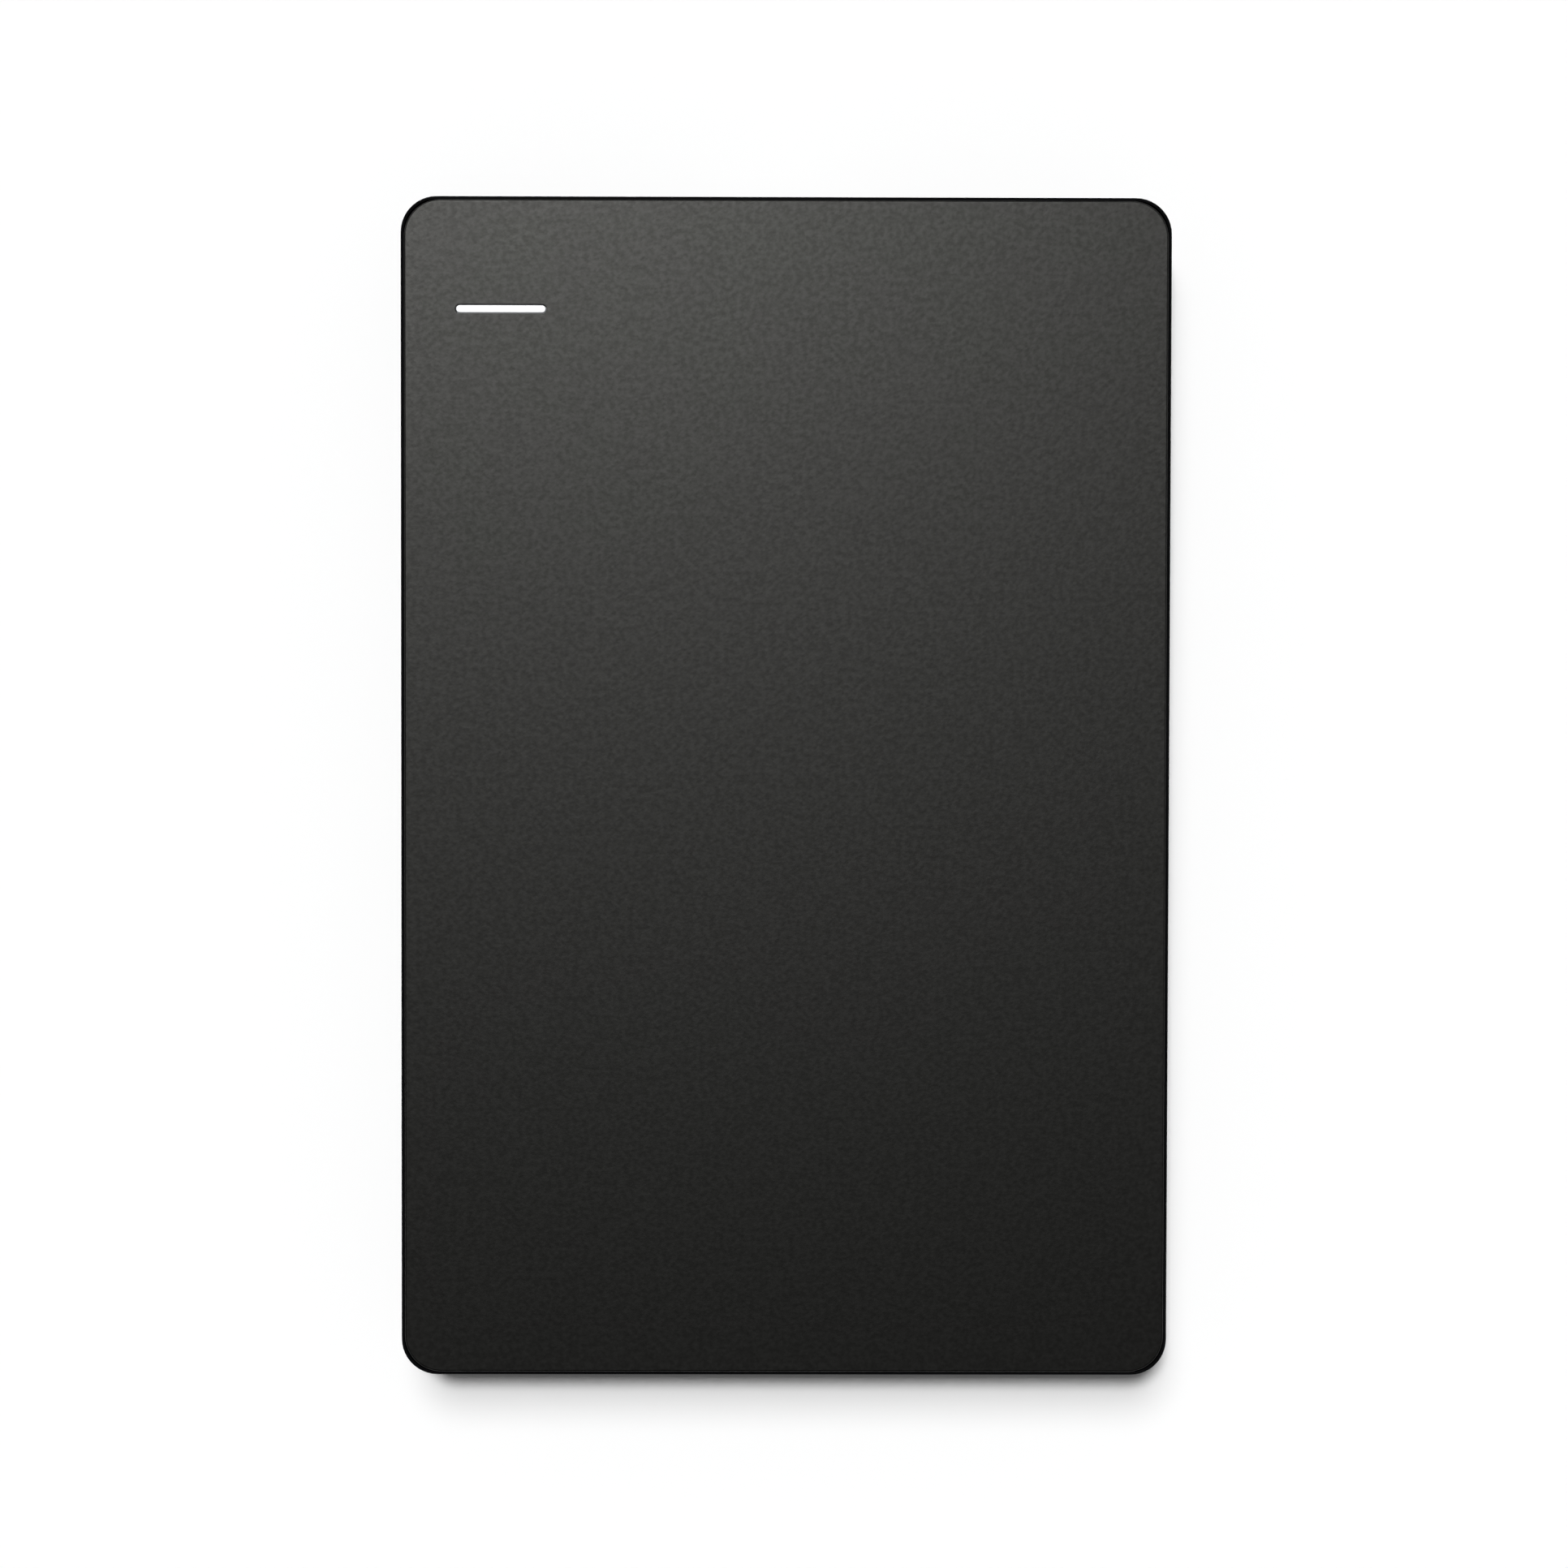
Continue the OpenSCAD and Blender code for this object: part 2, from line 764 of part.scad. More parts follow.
module usb_shell() {
    color(steel) {
        difference() {
            port_run(port_sheet, port_back_y, port_face_y);
            port_run(0, port_back_y + port_sheet, port_face_y + past);
        }
        at_port_legs() block([0, 0, -leg_down], [port_sheet, leg_l, port_sheet + port_bevel]);
    }
}

// Blade's low and high corners, across the port and in height
blade_low_z = port_z - 0.1;
blade_tip_y = port_face_y - 1;
wide_air = 0.9;
narrow_air = 0.55;
wide_blade = [-port_w / 2 + wide_air, -port_w / 2 + port_wide - wide_air];
narrow_blade = [-port_w / 2 + port_wide + port_notch + narrow_air, port_w / 2 - narrow_air];
plug_stop = 1.8;
contact_back = 0.3;
wide_share = 0.13;
narrow_share = 0.194;
contact_share = 0.54;

module usb_tongue() {
    back = port_back_y + port_sheet;
    color("#202124") {
        port_run(-seat, back, back + plug_stop);
        for (blade = [wide_blade, narrow_blade]) block(
            [blade[0], back + plug_stop - fit, blade_low_z],
            [blade[1], blade_tip_y, blade_low_z + blade_t]
        );
    }
}

module usb_contacts() {
    start = port_back_y + port_sheet + plug_stop;
    end = blade_tip_y - contact_back;
    rows = [[wide_blade, wide_share], [narrow_blade, narrow_share]];
    color(gold) for (row = rows, i = [-2:2]) {
        pitch = row[1] * (row[0][1] - row[0][0]);
        half = contact_share * pitch / 2;
        x = (row[0][0] + row[0][1]) / 2 + i * pitch;
        block([x - half, start, blade_low_z - contact_t], [x + half, end, blade_low_z]);
    }
}

// The two blades of the drive's connector, each with its key
module sata_blades(grow, y_from, y_to) {
    total = signal_w + blade_space + power_w;
    left = sata_x - total / 2;
    power_left = left + signal_w + blade_space;
    for (blade = [[left, signal_w, 0], [power_left, power_w, power_w - key_w]]) {
        block(
            [blade[0] - grow, y_from, blade_low - grow],
            [blade[0] + blade[1] + grow, y_to, blade_low + sata_blade_t + grow]
        );
        block(
            [blade[0] + blade[2] - grow, y_from, blade_low + sata_blade_t - fit],
            [blade[0] + blade[2] + key_w + grow, y_to, blade_low + sata_blade_t + key_h + grow]
        );
    }
}

module sata_receptacle() {
    low = drive_z + pcb_top + fit;
    high = drive_z + plug_top - 2 * fit;
    x0 = sata_x - sata_w / 2;
    x1 = sata_x + sata_w / 2;
    blade_room = 0.5;
    color("#1c1c1e") difference() {
        union() {
            block([x0, receptacle_y, low], [x1, board_y0 - fit, high]);
            block([x0, board_y0 - 2 * fit, board_top], [x1, board_y0 + sata_seat, high]);
        }
        in_drive() sata_blades(fit, receptacle_y - drive_y - past, drive_l + blade_room);
    }
}

module drive_sata_plug() {
    color("#1c1c1e") in_drive() {
        block([sata_x - plug_w / 2, plug_back_y, pcb_top], [sata_x + plug_w / 2, plug_face_y, plug_top]);
        for (x = [sata_x - plug_w / 2, sata_x + plug_w / 2 - plug_ear]) block(
            [x, plug_back_y, pcb_top], [x + plug_ear, drive_l - 1.5 * fit, plug_top]
        );
        sata_blades(0, plug_face_y - fit, drive_l - 0.5 * fit);
    }
}

// Chip package with pins along two or four of its sides
module chip(w, l, h, pins_x, pins_y) {
    pitch = 0.8;
    lead = 0.35;
    lead_t = 0.3;
    stand = 0.1;
    translate([-w / 2, -l / 2, stand]) cube([w, l, h - stand]);
    for (side = [-1, 1], i = [0:1:pins_x - 1])
        translate([(i - (pins_x - 1) / 2) * pitch, side * (l / 2 + lead / 2), lead_t / 2])
            cube([lead_t, lead + 2 * fit, lead_t], center = true);
    for (side = [-1, 1], i = [0:1:pins_y - 1])
        translate([side * (w / 2 + lead / 2), (i - (pins_y - 1) / 2) * pitch, lead_t / 2])
            cube([lead + 2 * fit, lead_t, lead_t], center = true);
}

module bridge_chip() {
    color(chip_black) translate([bar_x + bridge_at.x, board_y1 + bridge_at.y, board_top])
        chip(bridge_w, bridge_w, bridge_h, 5, 5);
}

module flash_chip() {
    color(chip_black) translate([bar_x + flash_at.x, board_y1 + flash_at.y, board_top])
        chip(flash_size.x, flash_size.y, flash_size.z, 4, 0);
}

module crystal() {
    color(steel) translate([bar_x + crystal_at.x, board_y1 + crystal_at.y, board_top])
        slab(crystal_size.x, crystal_size.y, crystal_size.z, 0.4, 0, 0.15);
}

module indicator_led() {
    color("#f2ead0") translate([bar_x, bar_y, board_top]) {
        translate([-led_l / 2, -led_w / 2, 0]) cube([led_l, led_w, led_t / 2]);
        translate([-led_l / 3, -led_w / 2, led_t / 4]) cube([led_l * 2 / 3, led_w, led_t * 3 / 4]);
    }
}

// Flat outline of the space for disk, arm and magnets
module chamber_outline() {
    translate([0, spindle_y]) circle(r = well_r);
    throat_end = chamber_end - 6;
    translate([(chamber_x0 + half_room) / 2, (chamber_low + chamber_end) / 2])
        round_rect(half_room - chamber_x0, chamber_end - chamber_low, chamber_r);
    translate([(chamber_x0 + throat_x1) / 2, (spindle_y + throat_end) / 2])
        square([throat_x1 - chamber_x0, throat_end - spindle_y], center = true);
}

module drive_base() {
    color(cast_metal) in_drive() difference() {
        linear_extrude(base_top) translate([0, drive_l / 2]) round_rect(drive_w, drive_l, base_r);
        translate([0, 0, base_floor]) linear_extrude(base_top - base_floor + past) chamber_outline();
        motor_well();
        board_recess();
        block(
            [sata_x - plug_w / 2 - fit, notch_start, -past],
            [sata_x + plug_w / 2 + fit, drive_l + past, base_top + past]
        );
        at_cover_screws() {
            translate([0, 0, base_top - cup_sink]) cylinder(d = cup_d + 2 * fit, h = cup_sink + past);
            translate([0, 0, base_top - hole_grip])
                cylinder(d = screw_d + 2 * seat, h = hole_grip + past);
        }
        at_board_screws() translate([0, 0, -past])
            cylinder(d = screw_d + 2 * seat, h = base_floor + 4 * fit + past);
        for (x = [-1, 1], y = side_holes) translate([x * drive_w / 2, drive_l - y, side_hole_z])
            rotate([0, 90, 0]) cylinder(d = side_hole_d, h = 2 * side_hole_deep, center = true);
        translate([pivot_dx, pivot_y, recess_top - past])
            cylinder(d = post_foot_d, h = base_web + 2 * past);
    }
}

// Round well of the motor, with the boss that holds its bearing
module motor_well() {
    translate([0, spindle_y, motor_floor]) {
        difference() {
            cylinder(r = motor_r, h = base_floor - motor_floor + past);
            cylinder(r = boss_r, h = base_floor - motor_floor);
        }
        cylinder(r = sleeve_r + seat, h = base_floor - motor_floor + past);
    }
}

// Recess for the drive board, with a boss at each of its screws
module board_recess() {
    half = drive_w / 2 - recess_side;
    difference() {
        block([-half, screw_mid_y - recess_before, -past], [half, notch_start + fit, recess_top]);
        at_board_screws() translate([0, 0, pcb_top]) cylinder(d = board_boss_d, h = recess_top);
    }
}

module drive_board() {
    color(circuit_green) in_drive() translate([0, 0, pcb_lift]) difference() {
        union() {
            block(
                [-drive_w / 2 + board_side, screw_mid_y - board_before, 0],
                [drive_w / 2 - board_side, notch_start - board_after, pcb_t]
            );
            block(
                [sata_x - plug_w / 2 + fit, notch_start - 2 * board_after, 0],
                [sata_x + plug_w / 2 - fit, plug_face_y - fit, pcb_t]
            );
        }
        at_board_screws() translate([0, 0, -past]) cylinder(d = screw_d + 2 * fit, h = pcb_t + 2 * past);
    }
}

module drive_controller() {
    color(chip_black) in_drive() translate([controller_at.x, pivot_y + controller_at.y, pcb_top])
        chip(controller_w, controller_w, chip_t, 12, 12);
}

module drive_memory() {
    color(chip_black) in_drive() translate([memory_at.x, pivot_y + memory_at.y, pcb_top])
        chip(memory_size.x, memory_size.y, chip_t, 10, 0);
}

module motor_driver() {
    color(chip_black) in_drive() translate([driver_at.x, pivot_y + driver_at.y, pcb_top])
        chip(driver_w, driver_w, chip_t, 7, 7);
}

module board_screws() {
    color(steel) in_drive() at_board_screws() {
        difference() {
            cylinder(d = head_d, h = pcb_lift);
            translate([0, 0, -past]) cylinder(d = socket_d, h = past + 2 * fit, $fn = 6);
        }
        cylinder(d = screw_d, h = base_floor + 2 * fit);
    }
}

// Stamped cover with a dish over the disk and a cup for each screw
module drive_cover() {
    dish_r = platter_r - 2.5;
    step = 0.2;
    breather_hole_d = 1;
    color(steel) in_drive() difference() {
        union() {
            translate([0, drive_l / 2, cover_low]) linear_extrude(cover_t)
                round_rect(drive_w - 4 * fit, drive_l - 4 * fit, base_r - fit);
            translate([0, spindle_y, cover_low - step]) cylinder(r = dish_r + step, h = cover_t);
            at_cover_screws() translate([0, 0, base_top - cup_sink])
                cylinder(d = cup_d, h = cover_t + cup_sink);
        }
        translate([0, spindle_y, cover_low + cover_t - step]) cylinder(r = dish_r, h = cover_t);
        at_cover_screws() {
            translate([0, 0, base_top - cup_sink + cover_t]) cylinder(d = head_d + 2 * fit, h = past);
            cylinder(d = screw_d + 2 * fit, h = drive_t);
        }
        translate([breather_x, breather_y, 0]) cylinder(d = breather_hole_d, h = drive_t + past);
    }
}

module cover_gasket() {
    inset = 0.35;
    w = 1;
    r = 1.6;
    end_y = notch_start - 2 * fit;
    color("#2b2b2b") in_drive() translate([0, (end_y + inset) / 2, base_top]) linear_extrude(gasket_t)
        difference() {
            round_rect(drive_w - 2 * inset, end_y - inset, r);
            round_rect(drive_w - 2 * inset - 2 * w, end_y - inset - 2 * w, r - w);
        }
}

module cover_screws() {
    seat_z = base_top - cup_sink + cover_t;
    color(steel) in_drive() at_cover_screws() {
        translate([0, 0, seat_z]) difference() {
            cylinder(d = head_d, h = drive_t - seat_z);
            translate([0, 0, fit]) cylinder(d = socket_d, h = past, $fn = 6);
        }
        translate([0, 0, base_top - screw_grip])
            cylinder(d = screw_d, h = seat_z - base_top + screw_grip + fit / 2);
    }
}

// Cup that carries the disk on its rim and the magnet in its skirt
module spindle_hub() {
    bore_r = shaft_d / 2 + seat;
    skirt_low = core_z - 2 * fit;
    boss = platter_bore / 2 - disk_fit;
    color(steel) at_spindle() rotate_extrude() polygon([
        [bore_r, hub_roof], [hub_r - skirt_t, hub_roof], [hub_r - skirt_t, skirt_low],
        [hub_r, skirt_low], [hub_r, platter_low], [boss, platter_low],
        [boss, hub_top], [bore_r, hub_top]
    ]);
}

module spindle_shaft() {
    low = motor_floor + shaft_air;
    color(steel) at_spindle() difference() {
        translate([0, 0, low]) cylinder(d = shaft_d, h = hub_top - low);
        translate([0, 0, hub_top - thread_deep])
            cylinder(d = screw_d + 2 * seat, h = thread_deep + past);
    }
}

module bearing_sleeve() {
    low = motor_floor + seat;
    color("#c8a860") at_spindle() translate([0, 0, low]) difference() {
        cylinder(r = sleeve_r, h = base_floor + sleeve_proud - low);
        translate([0, 0, -past]) cylinder(r = shaft_d / 2 + running_gap, h = base_floor + 2 * past);
    }
}

module rotor_magnet() {
    low = core_z - fit;
    color("#4a4c50") at_spindle() translate([0, 0, low]) difference() {
        cylinder(r = magnet_r, h = hub_roof - low);
        translate([0, 0, -past]) cylinder(r = magnet_r - magnet_t, h = hub_roof + 2 * past);
    }
}

module at_teeth() {
    for (i = [0:coil_count - 1]) rotate([0, 0, i * 360 / coil_count]) children();
}

// Ring with a tooth for each coil, each tooth with a wide head
module stator_core() {
    ring_t = 1.25;
    head = 0.8;
    head_half = 14;
    color("#77797c") at_spindle() translate([0, 0, core_z]) difference() {
        union() {
            cylinder(r = boss_r + ring_t, h = core_h);
            at_teeth() {
                block(
                    [boss_r + ring_t / 2, -tooth_w / 2, 0],
                    [stator_r - head / 2, tooth_w / 2, core_h]
                );
                sector(stator_r - head, stator_r, -head_half, head_half, core_h);
            }
        }
        translate([0, 0, -past]) cylinder(r = boss_r + seat, h = core_h + 2 * past);
    }
}

module stator_windings() {
    gap = 0.05;
    layer = 0.25;
    start = boss_r + 1.4;
    out = stator_r - 1;
    color(copper) at_spindle() at_teeth() difference() {
        block(
            [start, -tooth_w / 2 - winding_t, core_z - layer],
            [out, tooth_w / 2 + winding_t, core_z + core_h + layer]
        );
        block(
            [boss_r, -tooth_w / 2 - gap, core_z - gap],
            [out + past, tooth_w / 2 + gap, core_z + core_h + gap]
        );
    }
}

module platter() {
    bevel = 0.15;
    inner = platter_bore / 2;
    color("#d9dce0") at_spindle() rotate_extrude() polygon([
        [inner, platter_low], [platter_r - bevel, platter_low], [platter_r, platter_low + bevel],
        [platter_r, platter_top - bevel], [platter_r - bevel, platter_top], [inner, platter_top]
    ]);
}

// Domed clamp with a ring of balance holes
module disk_clamp() {
    out = hub_r - 0.3;
    hole_r = screw_d / 2 + fit;
    rim_top = clamp_top - 0.15;
    slope = 1.6;
    balance_r = hub_r * 0.58;
    balance_d = 1.4;
    color(steel) at_spindle() difference() {
        rotate_extrude() polygon([
            [hole_r, platter_top], [out, platter_top], [out, rim_top],
            [out - slope, clamp_top], [hole_r, clamp_top]
        ]);
        for (i = [0:5]) rotate([0, 0, 60 * i]) translate([balance_r, 0, platter_top - past])
            cylinder(d = balance_d, h = clamp_top - platter_top + 2 * past);
    }
}

module clamp_screw() {
    clamp_head_d = 4;
    clamp_head_t = 0.4;
    clamp_socket_d = 1.8;
    grip = 2;
    color(steel) at_spindle() {
        translate([0, 0, clamp_top]) difference() {
            cylinder(d = clamp_head_d, h = clamp_head_t);
            translate([0, 0, 1.5 * fit]) cylinder(d = clamp_socket_d, h = past, $fn = 6);
        }
        translate([0, 0, clamp_top - grip]) cylinder(d = screw_d, h = grip + fit / 2);
    }
}

// One flat arm, tapering from the block to the heads
module arm_outline(root, tip) {
    difference() {
        polygon([[0, -root / 2], [arm_len, -tip / 2], [arm_len, tip / 2], [0, root / 2]]);
        translate([arm_len / 2, 0]) circle(d = arm_hole_d);
    }
}

module arm_block() {
    color("#c4c8cc") at_arm() difference() {
        union() {
            translate([0, 0, arm_low]) cylinder(r = arm_hub_r, h = arm_high + arm_t - arm_low);
            for (z = [arm_low, arm_high]) translate([0, 0, z])
                linear_extrude(arm_t) arm_outline(arm_root_w, arm_tip_w);
            coil_fork();
        }
        translate([0, 0, arm_low - past]) cylinder(r = pivot_sleeve_r + seat, h = drive_t);
    }
}

// Two fingers that hold the coil on the far side of the pivot
module coil_fork() {
    high = coil_low + coil_t;
    finger_end = -stop_at - stop_r / 3;
    block([-fork_root, -fork_half, coil_low], [-fork_start, fork_half, high]);
    for (y = [-fork_half, fork_half - fork_t])
        block([finger_end, y, coil_low], [-fork_start, y + fork_t, high]);
}

module voice_coil() {
    length = coil_far - coil_near;
    color(copper) at_arm() translate([-(coil_far + coil_near) / 2, 0, coil_low])
        linear_extrude(coil_t) difference() {
            round_rect(length, 2 * coil_half, coil_r);
            round_rect(length - 2 * coil_band, 2 * (coil_half - coil_band), 0.4 * coil_r);
        }
}

module pivot_post() {
    color(steel) at_pivot() {
        translate([0, 0, base_floor]) cylinder(r = pivot_post_r + 1, h = arm_gap - fit);
        translate([0, 0, base_floor]) cylinder(r = pivot_post_r, h = base_top - base_floor - fit);
        translate([0, 0, recess_top]) cylinder(d = post_foot_d - 2 * seat, h = base_web + fit);
    }
}

module pivot_sleeve() {
    color("#9a9da1") at_pivot() translate([0, 0, arm_low]) difference() {
        cylinder(r = pivot_sleeve_r, h = arm_high + arm_t - arm_low);
        translate([0, 0, -past]) cylinder(r = pivot_post_r + running_gap, h = drive_t);
    }
}

// Thin sprung beam that carries a head, with the tab that rides the ramp
module load_beam(z) {
    root = 2;
    tip = 0.5;
    tab_w = 0.5;
    bend = arm_len + 1;
    end = arm_reach + slider_l / 2;
    color(steel) at_arm() translate([0, 0, z]) linear_extrude(load_t) union() {
        polygon([
            [load_start, -root], [bend, -root], [end, -tip],
            [end, tip], [bend, root], [load_start, root]
        ]);
        translate([arm_reach, -tab_w / 2]) square([tab_end - arm_reach, tab_w]);
    }
}

module suspension_upper() {
    load_beam(arm_high - load_t);
}

module suspension_lower() {
    load_beam(arm_low + arm_t);
}

// Slider between its beam and a thin film of air on the disk
module slider(z_low, z_high) {
    color("#3a3a40") at_arm() block(
        [arm_reach - slider_l / 2, -slider_w / 2, z_low],
        [arm_reach + slider_l / 2, slider_w / 2, z_high]
    );
}

module slider_upper() {
    slider(platter_top + head_air, arm_high - load_t);
}

module slider_lower() {
    slider(arm_low + arm_t + load_t, platter_low - head_air);
}

// Steel plate of the coil's magnet circuit, drilled for its two posts
module yoke(z) {
    color("#a2a6aa") at_pivot() difference() {
        translate([0, 0, z])
            sector(yoke_in, yoke_out, post_from - yoke_margin, post_to + yoke_margin, yoke_t);
        at_yoke_posts() cylinder(d = yoke_rivet_d + 2 * seat, h = drive_t);
    }
}

module at_yoke_posts() {
    for (a = [post_from, post_to]) rotate([0, 0, a]) translate([stop_at, 0, 0]) children();
}

module lower_yoke() {
    yoke(base_floor);
}

module upper_yoke() {
    yoke(upper_yoke_z);
}

module coil_magnet(z) {
    reach = 25;
    color("#5b5d61") at_pivot() translate([0, 0, z]) sector(
        yoke_in + 1, yoke_out - 1.6, coil_dir - reach, coil_dir + swing + reach, magnet_h
    );
}

module magnet_lower() {
    coil_magnet(lower_magnet_z);
}

module magnet_upper() {
    coil_magnet(upper_magnet_z);
}

module yoke_posts() {
    color(steel) at_pivot() at_yoke_posts() {
        translate([0, 0, lower_magnet_z])
            cylinder(d = yoke_post_d, h = upper_yoke_z - lower_magnet_z);
        translate([0, 0, base_floor])
            cylinder(d = yoke_rivet_d, h = upper_yoke_z + yoke_t - base_floor);
    }
}

module crash_stops() {
    color("#2e2f31") at_pivot() at_yoke_posts() translate([0, 0, coil_low]) difference() {
        cylinder(r = stop_r, h = coil_t);
        translate([0, 0, -past]) cylinder(d = yoke_post_d + 2 * seat, h = coil_t + 2 * past);
    }
}

// Wedge that lifts the heads off the disk, on its foot outside the disk
module parking_ramp() {
    low = arm_low + arm_t + load_t + head_air;
    high = arm_high - load_t - head_air;
    mid = (low + high) / 2;
    color("#e6e2d4") at_arm() {
        translate([ramp_in, 0, 0]) rotate([90, 0, 90])
            linear_extrude(tab_end + ramp_air - ramp_in + fit) polygon([
                [-ramp_back, low], [ramp_flat, low], [ramp_tip, mid - fit],
                [ramp_tip, mid + fit], [ramp_flat, high], [-ramp_back, high]
            ]);
        block([tab_end + ramp_air, -ramp_back, base_floor], [ramp_out, ramp_tip, high + 4 * fit]);
    }
}

module recirculation_filter() {
    color("#eeeeea") in_drive() translate([throat_x1 + filter_at.x, chamber_low + filter_at.y, base_floor])
        slab(filter_size.x, filter_size.y, base_top - base_floor - 2 * fit, 1, 0, 0.3);
}

module breather_filter() {
    color("#e9e7df") in_drive() translate([breather_x, breather_y, cover_low - breather_t])
        cylinder(d = breather_d, h = breather_t);
}

front_plate();
plate_adhesive();
upper_shell();
rear_shell();
light_pipe();
foot(-1, 1);  // foot_port_left
foot(1, 1);  // foot_port_right
foot(-1, -1);  // foot_far_left
foot(1, -1);  // foot_far_right
bumper(-1, true);  // bumper_port_left
bumper(1, true);  // bumper_port_right
bumper(-1, false);  // bumper_far_left
bumper(1, false);  // bumper_far_right
shield_foil();
bridge_board();
usb_shell();
usb_tongue();
usb_contacts();
sata_receptacle();
bridge_chip();
flash_chip();
crystal();
indicator_led();
drive_base();
drive_cover();
cover_gasket();
cover_screws();
drive_board();
drive_controller();
drive_memory();
motor_driver();
board_screws();
drive_sata_plug();
spindle_hub();
spindle_shaft();
bearing_sleeve();
rotor_magnet();
stator_core();
stator_windings();
platter();
disk_clamp();
clamp_screw();
arm_block();
pivot_post();
pivot_sleeve();
voice_coil();
suspension_upper();
suspension_lower();
slider_upper();
slider_lower();
lower_yoke();
upper_yoke();
magnet_lower();
magnet_upper();
yoke_posts();
crash_stops();
parking_ramp();
recirculation_filter();
breather_filter();
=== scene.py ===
# %% [markdown]
# # A portable hard drive, dressed for its picture
#
# The measured model of the drive is already made: every hidden piece of the
# mechanism is in it, at its real size. This lesson loads that model, models the
# outside again with finer edges, gives every piece the finish of its real
# material, and sets the lights and the camera as in a product picture.
#
# The first step loads the model and keeps its pieces by name.

import json
import math

import bpy
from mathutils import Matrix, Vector


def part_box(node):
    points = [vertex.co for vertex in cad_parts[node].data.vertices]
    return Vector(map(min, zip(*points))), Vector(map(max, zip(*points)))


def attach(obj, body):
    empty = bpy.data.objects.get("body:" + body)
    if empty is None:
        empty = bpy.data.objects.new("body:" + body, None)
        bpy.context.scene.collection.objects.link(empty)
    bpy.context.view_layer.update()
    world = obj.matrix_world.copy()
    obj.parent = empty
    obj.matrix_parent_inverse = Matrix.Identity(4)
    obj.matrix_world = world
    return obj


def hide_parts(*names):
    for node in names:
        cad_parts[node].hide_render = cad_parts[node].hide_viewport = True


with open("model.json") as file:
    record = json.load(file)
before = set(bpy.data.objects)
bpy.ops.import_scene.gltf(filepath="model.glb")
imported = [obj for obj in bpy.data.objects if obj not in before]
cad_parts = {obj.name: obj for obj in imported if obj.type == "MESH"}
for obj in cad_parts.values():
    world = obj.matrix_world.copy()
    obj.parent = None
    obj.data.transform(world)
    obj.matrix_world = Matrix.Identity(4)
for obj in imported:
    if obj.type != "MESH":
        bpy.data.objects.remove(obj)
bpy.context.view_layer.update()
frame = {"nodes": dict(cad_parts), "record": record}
nodes = frame["nodes"]
MM = 0.001

# %% [markdown]
# ## Colours and nodes
#
# Designers write colours as hex values, which are made for screens. Light adds
# up in linear values, so one function turns the first into the second. Another
# small function adds a node, sets it and links it, so that each finish below
# reads as a short list of what it is made of.

# %% Helpers for colours and nodes
def linear(hex_colour):
    """The linear colour, with alpha, of an sRGB hex value."""
    parts = [int(hex_colour[i:i + 2], 16) / 255 for i in (1, 3, 5)]
    return [c / 12.92 if c <= 0.04045 else ((c + 0.055) / 1.055) ** 2.4 for c in parts] + [1]


def add(tree, kind, sockets=None, **settings):
    """Adds a shader node, with its settings, and with values or links for its sockets."""
    node = tree.nodes.new("ShaderNode" + kind)
    for name, value in settings.items():
        setattr(node, name, value)
    for name, value in (sockets or {}).items():
        if isinstance(value, bpy.types.NodeSocket):
            tree.links.new(value, node.inputs[name])
        else:
            node.inputs[name].default_value = value
    return node


def begin_finish(name, hex_colour, roughness, metallic=0.0):
    """A new material with one shader, and the place on the piece for its patterns."""
    material = bpy.data.materials.new(name)
    material.use_nodes = True
    tree = material.node_tree
    shader = tree.nodes["Principled BSDF"]
    shader.inputs["Base Color"].default_value = linear(hex_colour)
    shader.inputs["Roughness"].default_value = roughness
    shader.inputs["Metallic"].default_value = metallic
    place = add(tree, "TexCoord").outputs["Object"]
    return material, tree, shader, place


def per_mm(size_mm):
    """The scale of a pattern whose cells are that many millimetres wide."""
    return 1 / (size_mm * MM)


print("dark grey #202020 is", round(linear("#202020")[0], 4), "in linear light")

# %% [markdown]
# ## Two patterns that most finishes share
#
# Nearly every real surface varies a little in tone, and has a fine relief from
# how it was made. The first function lets a colour drift between two tones over
# a few millimetres. The second raises and lowers the surface by a few
# micrometres, with grains of a real size.

# %% Drift and grain
DRIFT_STOPS = (0.35, 0.65)      # noise values below and above which a tone is pure


def drift(tree, shader, place, tones, size_mm):
    """Lets the colour wander between two tones, in patches of that size."""
    patches = add(tree, "TexNoise", {"Vector": place, "Scale": per_mm(size_mm), "Detail": 3.0})
    blend = add(tree, "ValToRGB", {"Fac": patches.outputs["Fac"]})
    for stop, at, tone in zip(blend.color_ramp.elements, DRIFT_STOPS, tones):
        stop.position, stop.color = at, linear(tone)
    tree.links.new(blend.outputs["Color"], shader.inputs["Base Color"])


def grain(tree, shader, height, depth_mm):
    """Turns a pattern's values into relief of that depth."""
    relief = add(tree, "Bump", {"Height": height, "Distance": depth_mm * MM, "Strength": 1.0})
    tree.links.new(relief.outputs["Normal"], shader.inputs["Normal"])


finishes = {}
print("two shared patterns ready")

# %% [markdown]
# ## Anodised aluminium
#
# The front plate is a sheet of aluminium, blasted with fine beads and then
# anodised, which grows a hard layer of oxide that takes a black dye. The metal
# under the dye still mirrors light, but only a few hundredths of it, and the
# blasting spreads it into one broad, soft glow. So the finish is a metal with a
# very dark colour and a middling roughness. The real beads leave marks of about
# 0.1 mm, too fine to show here, so they are drawn three times as wide.

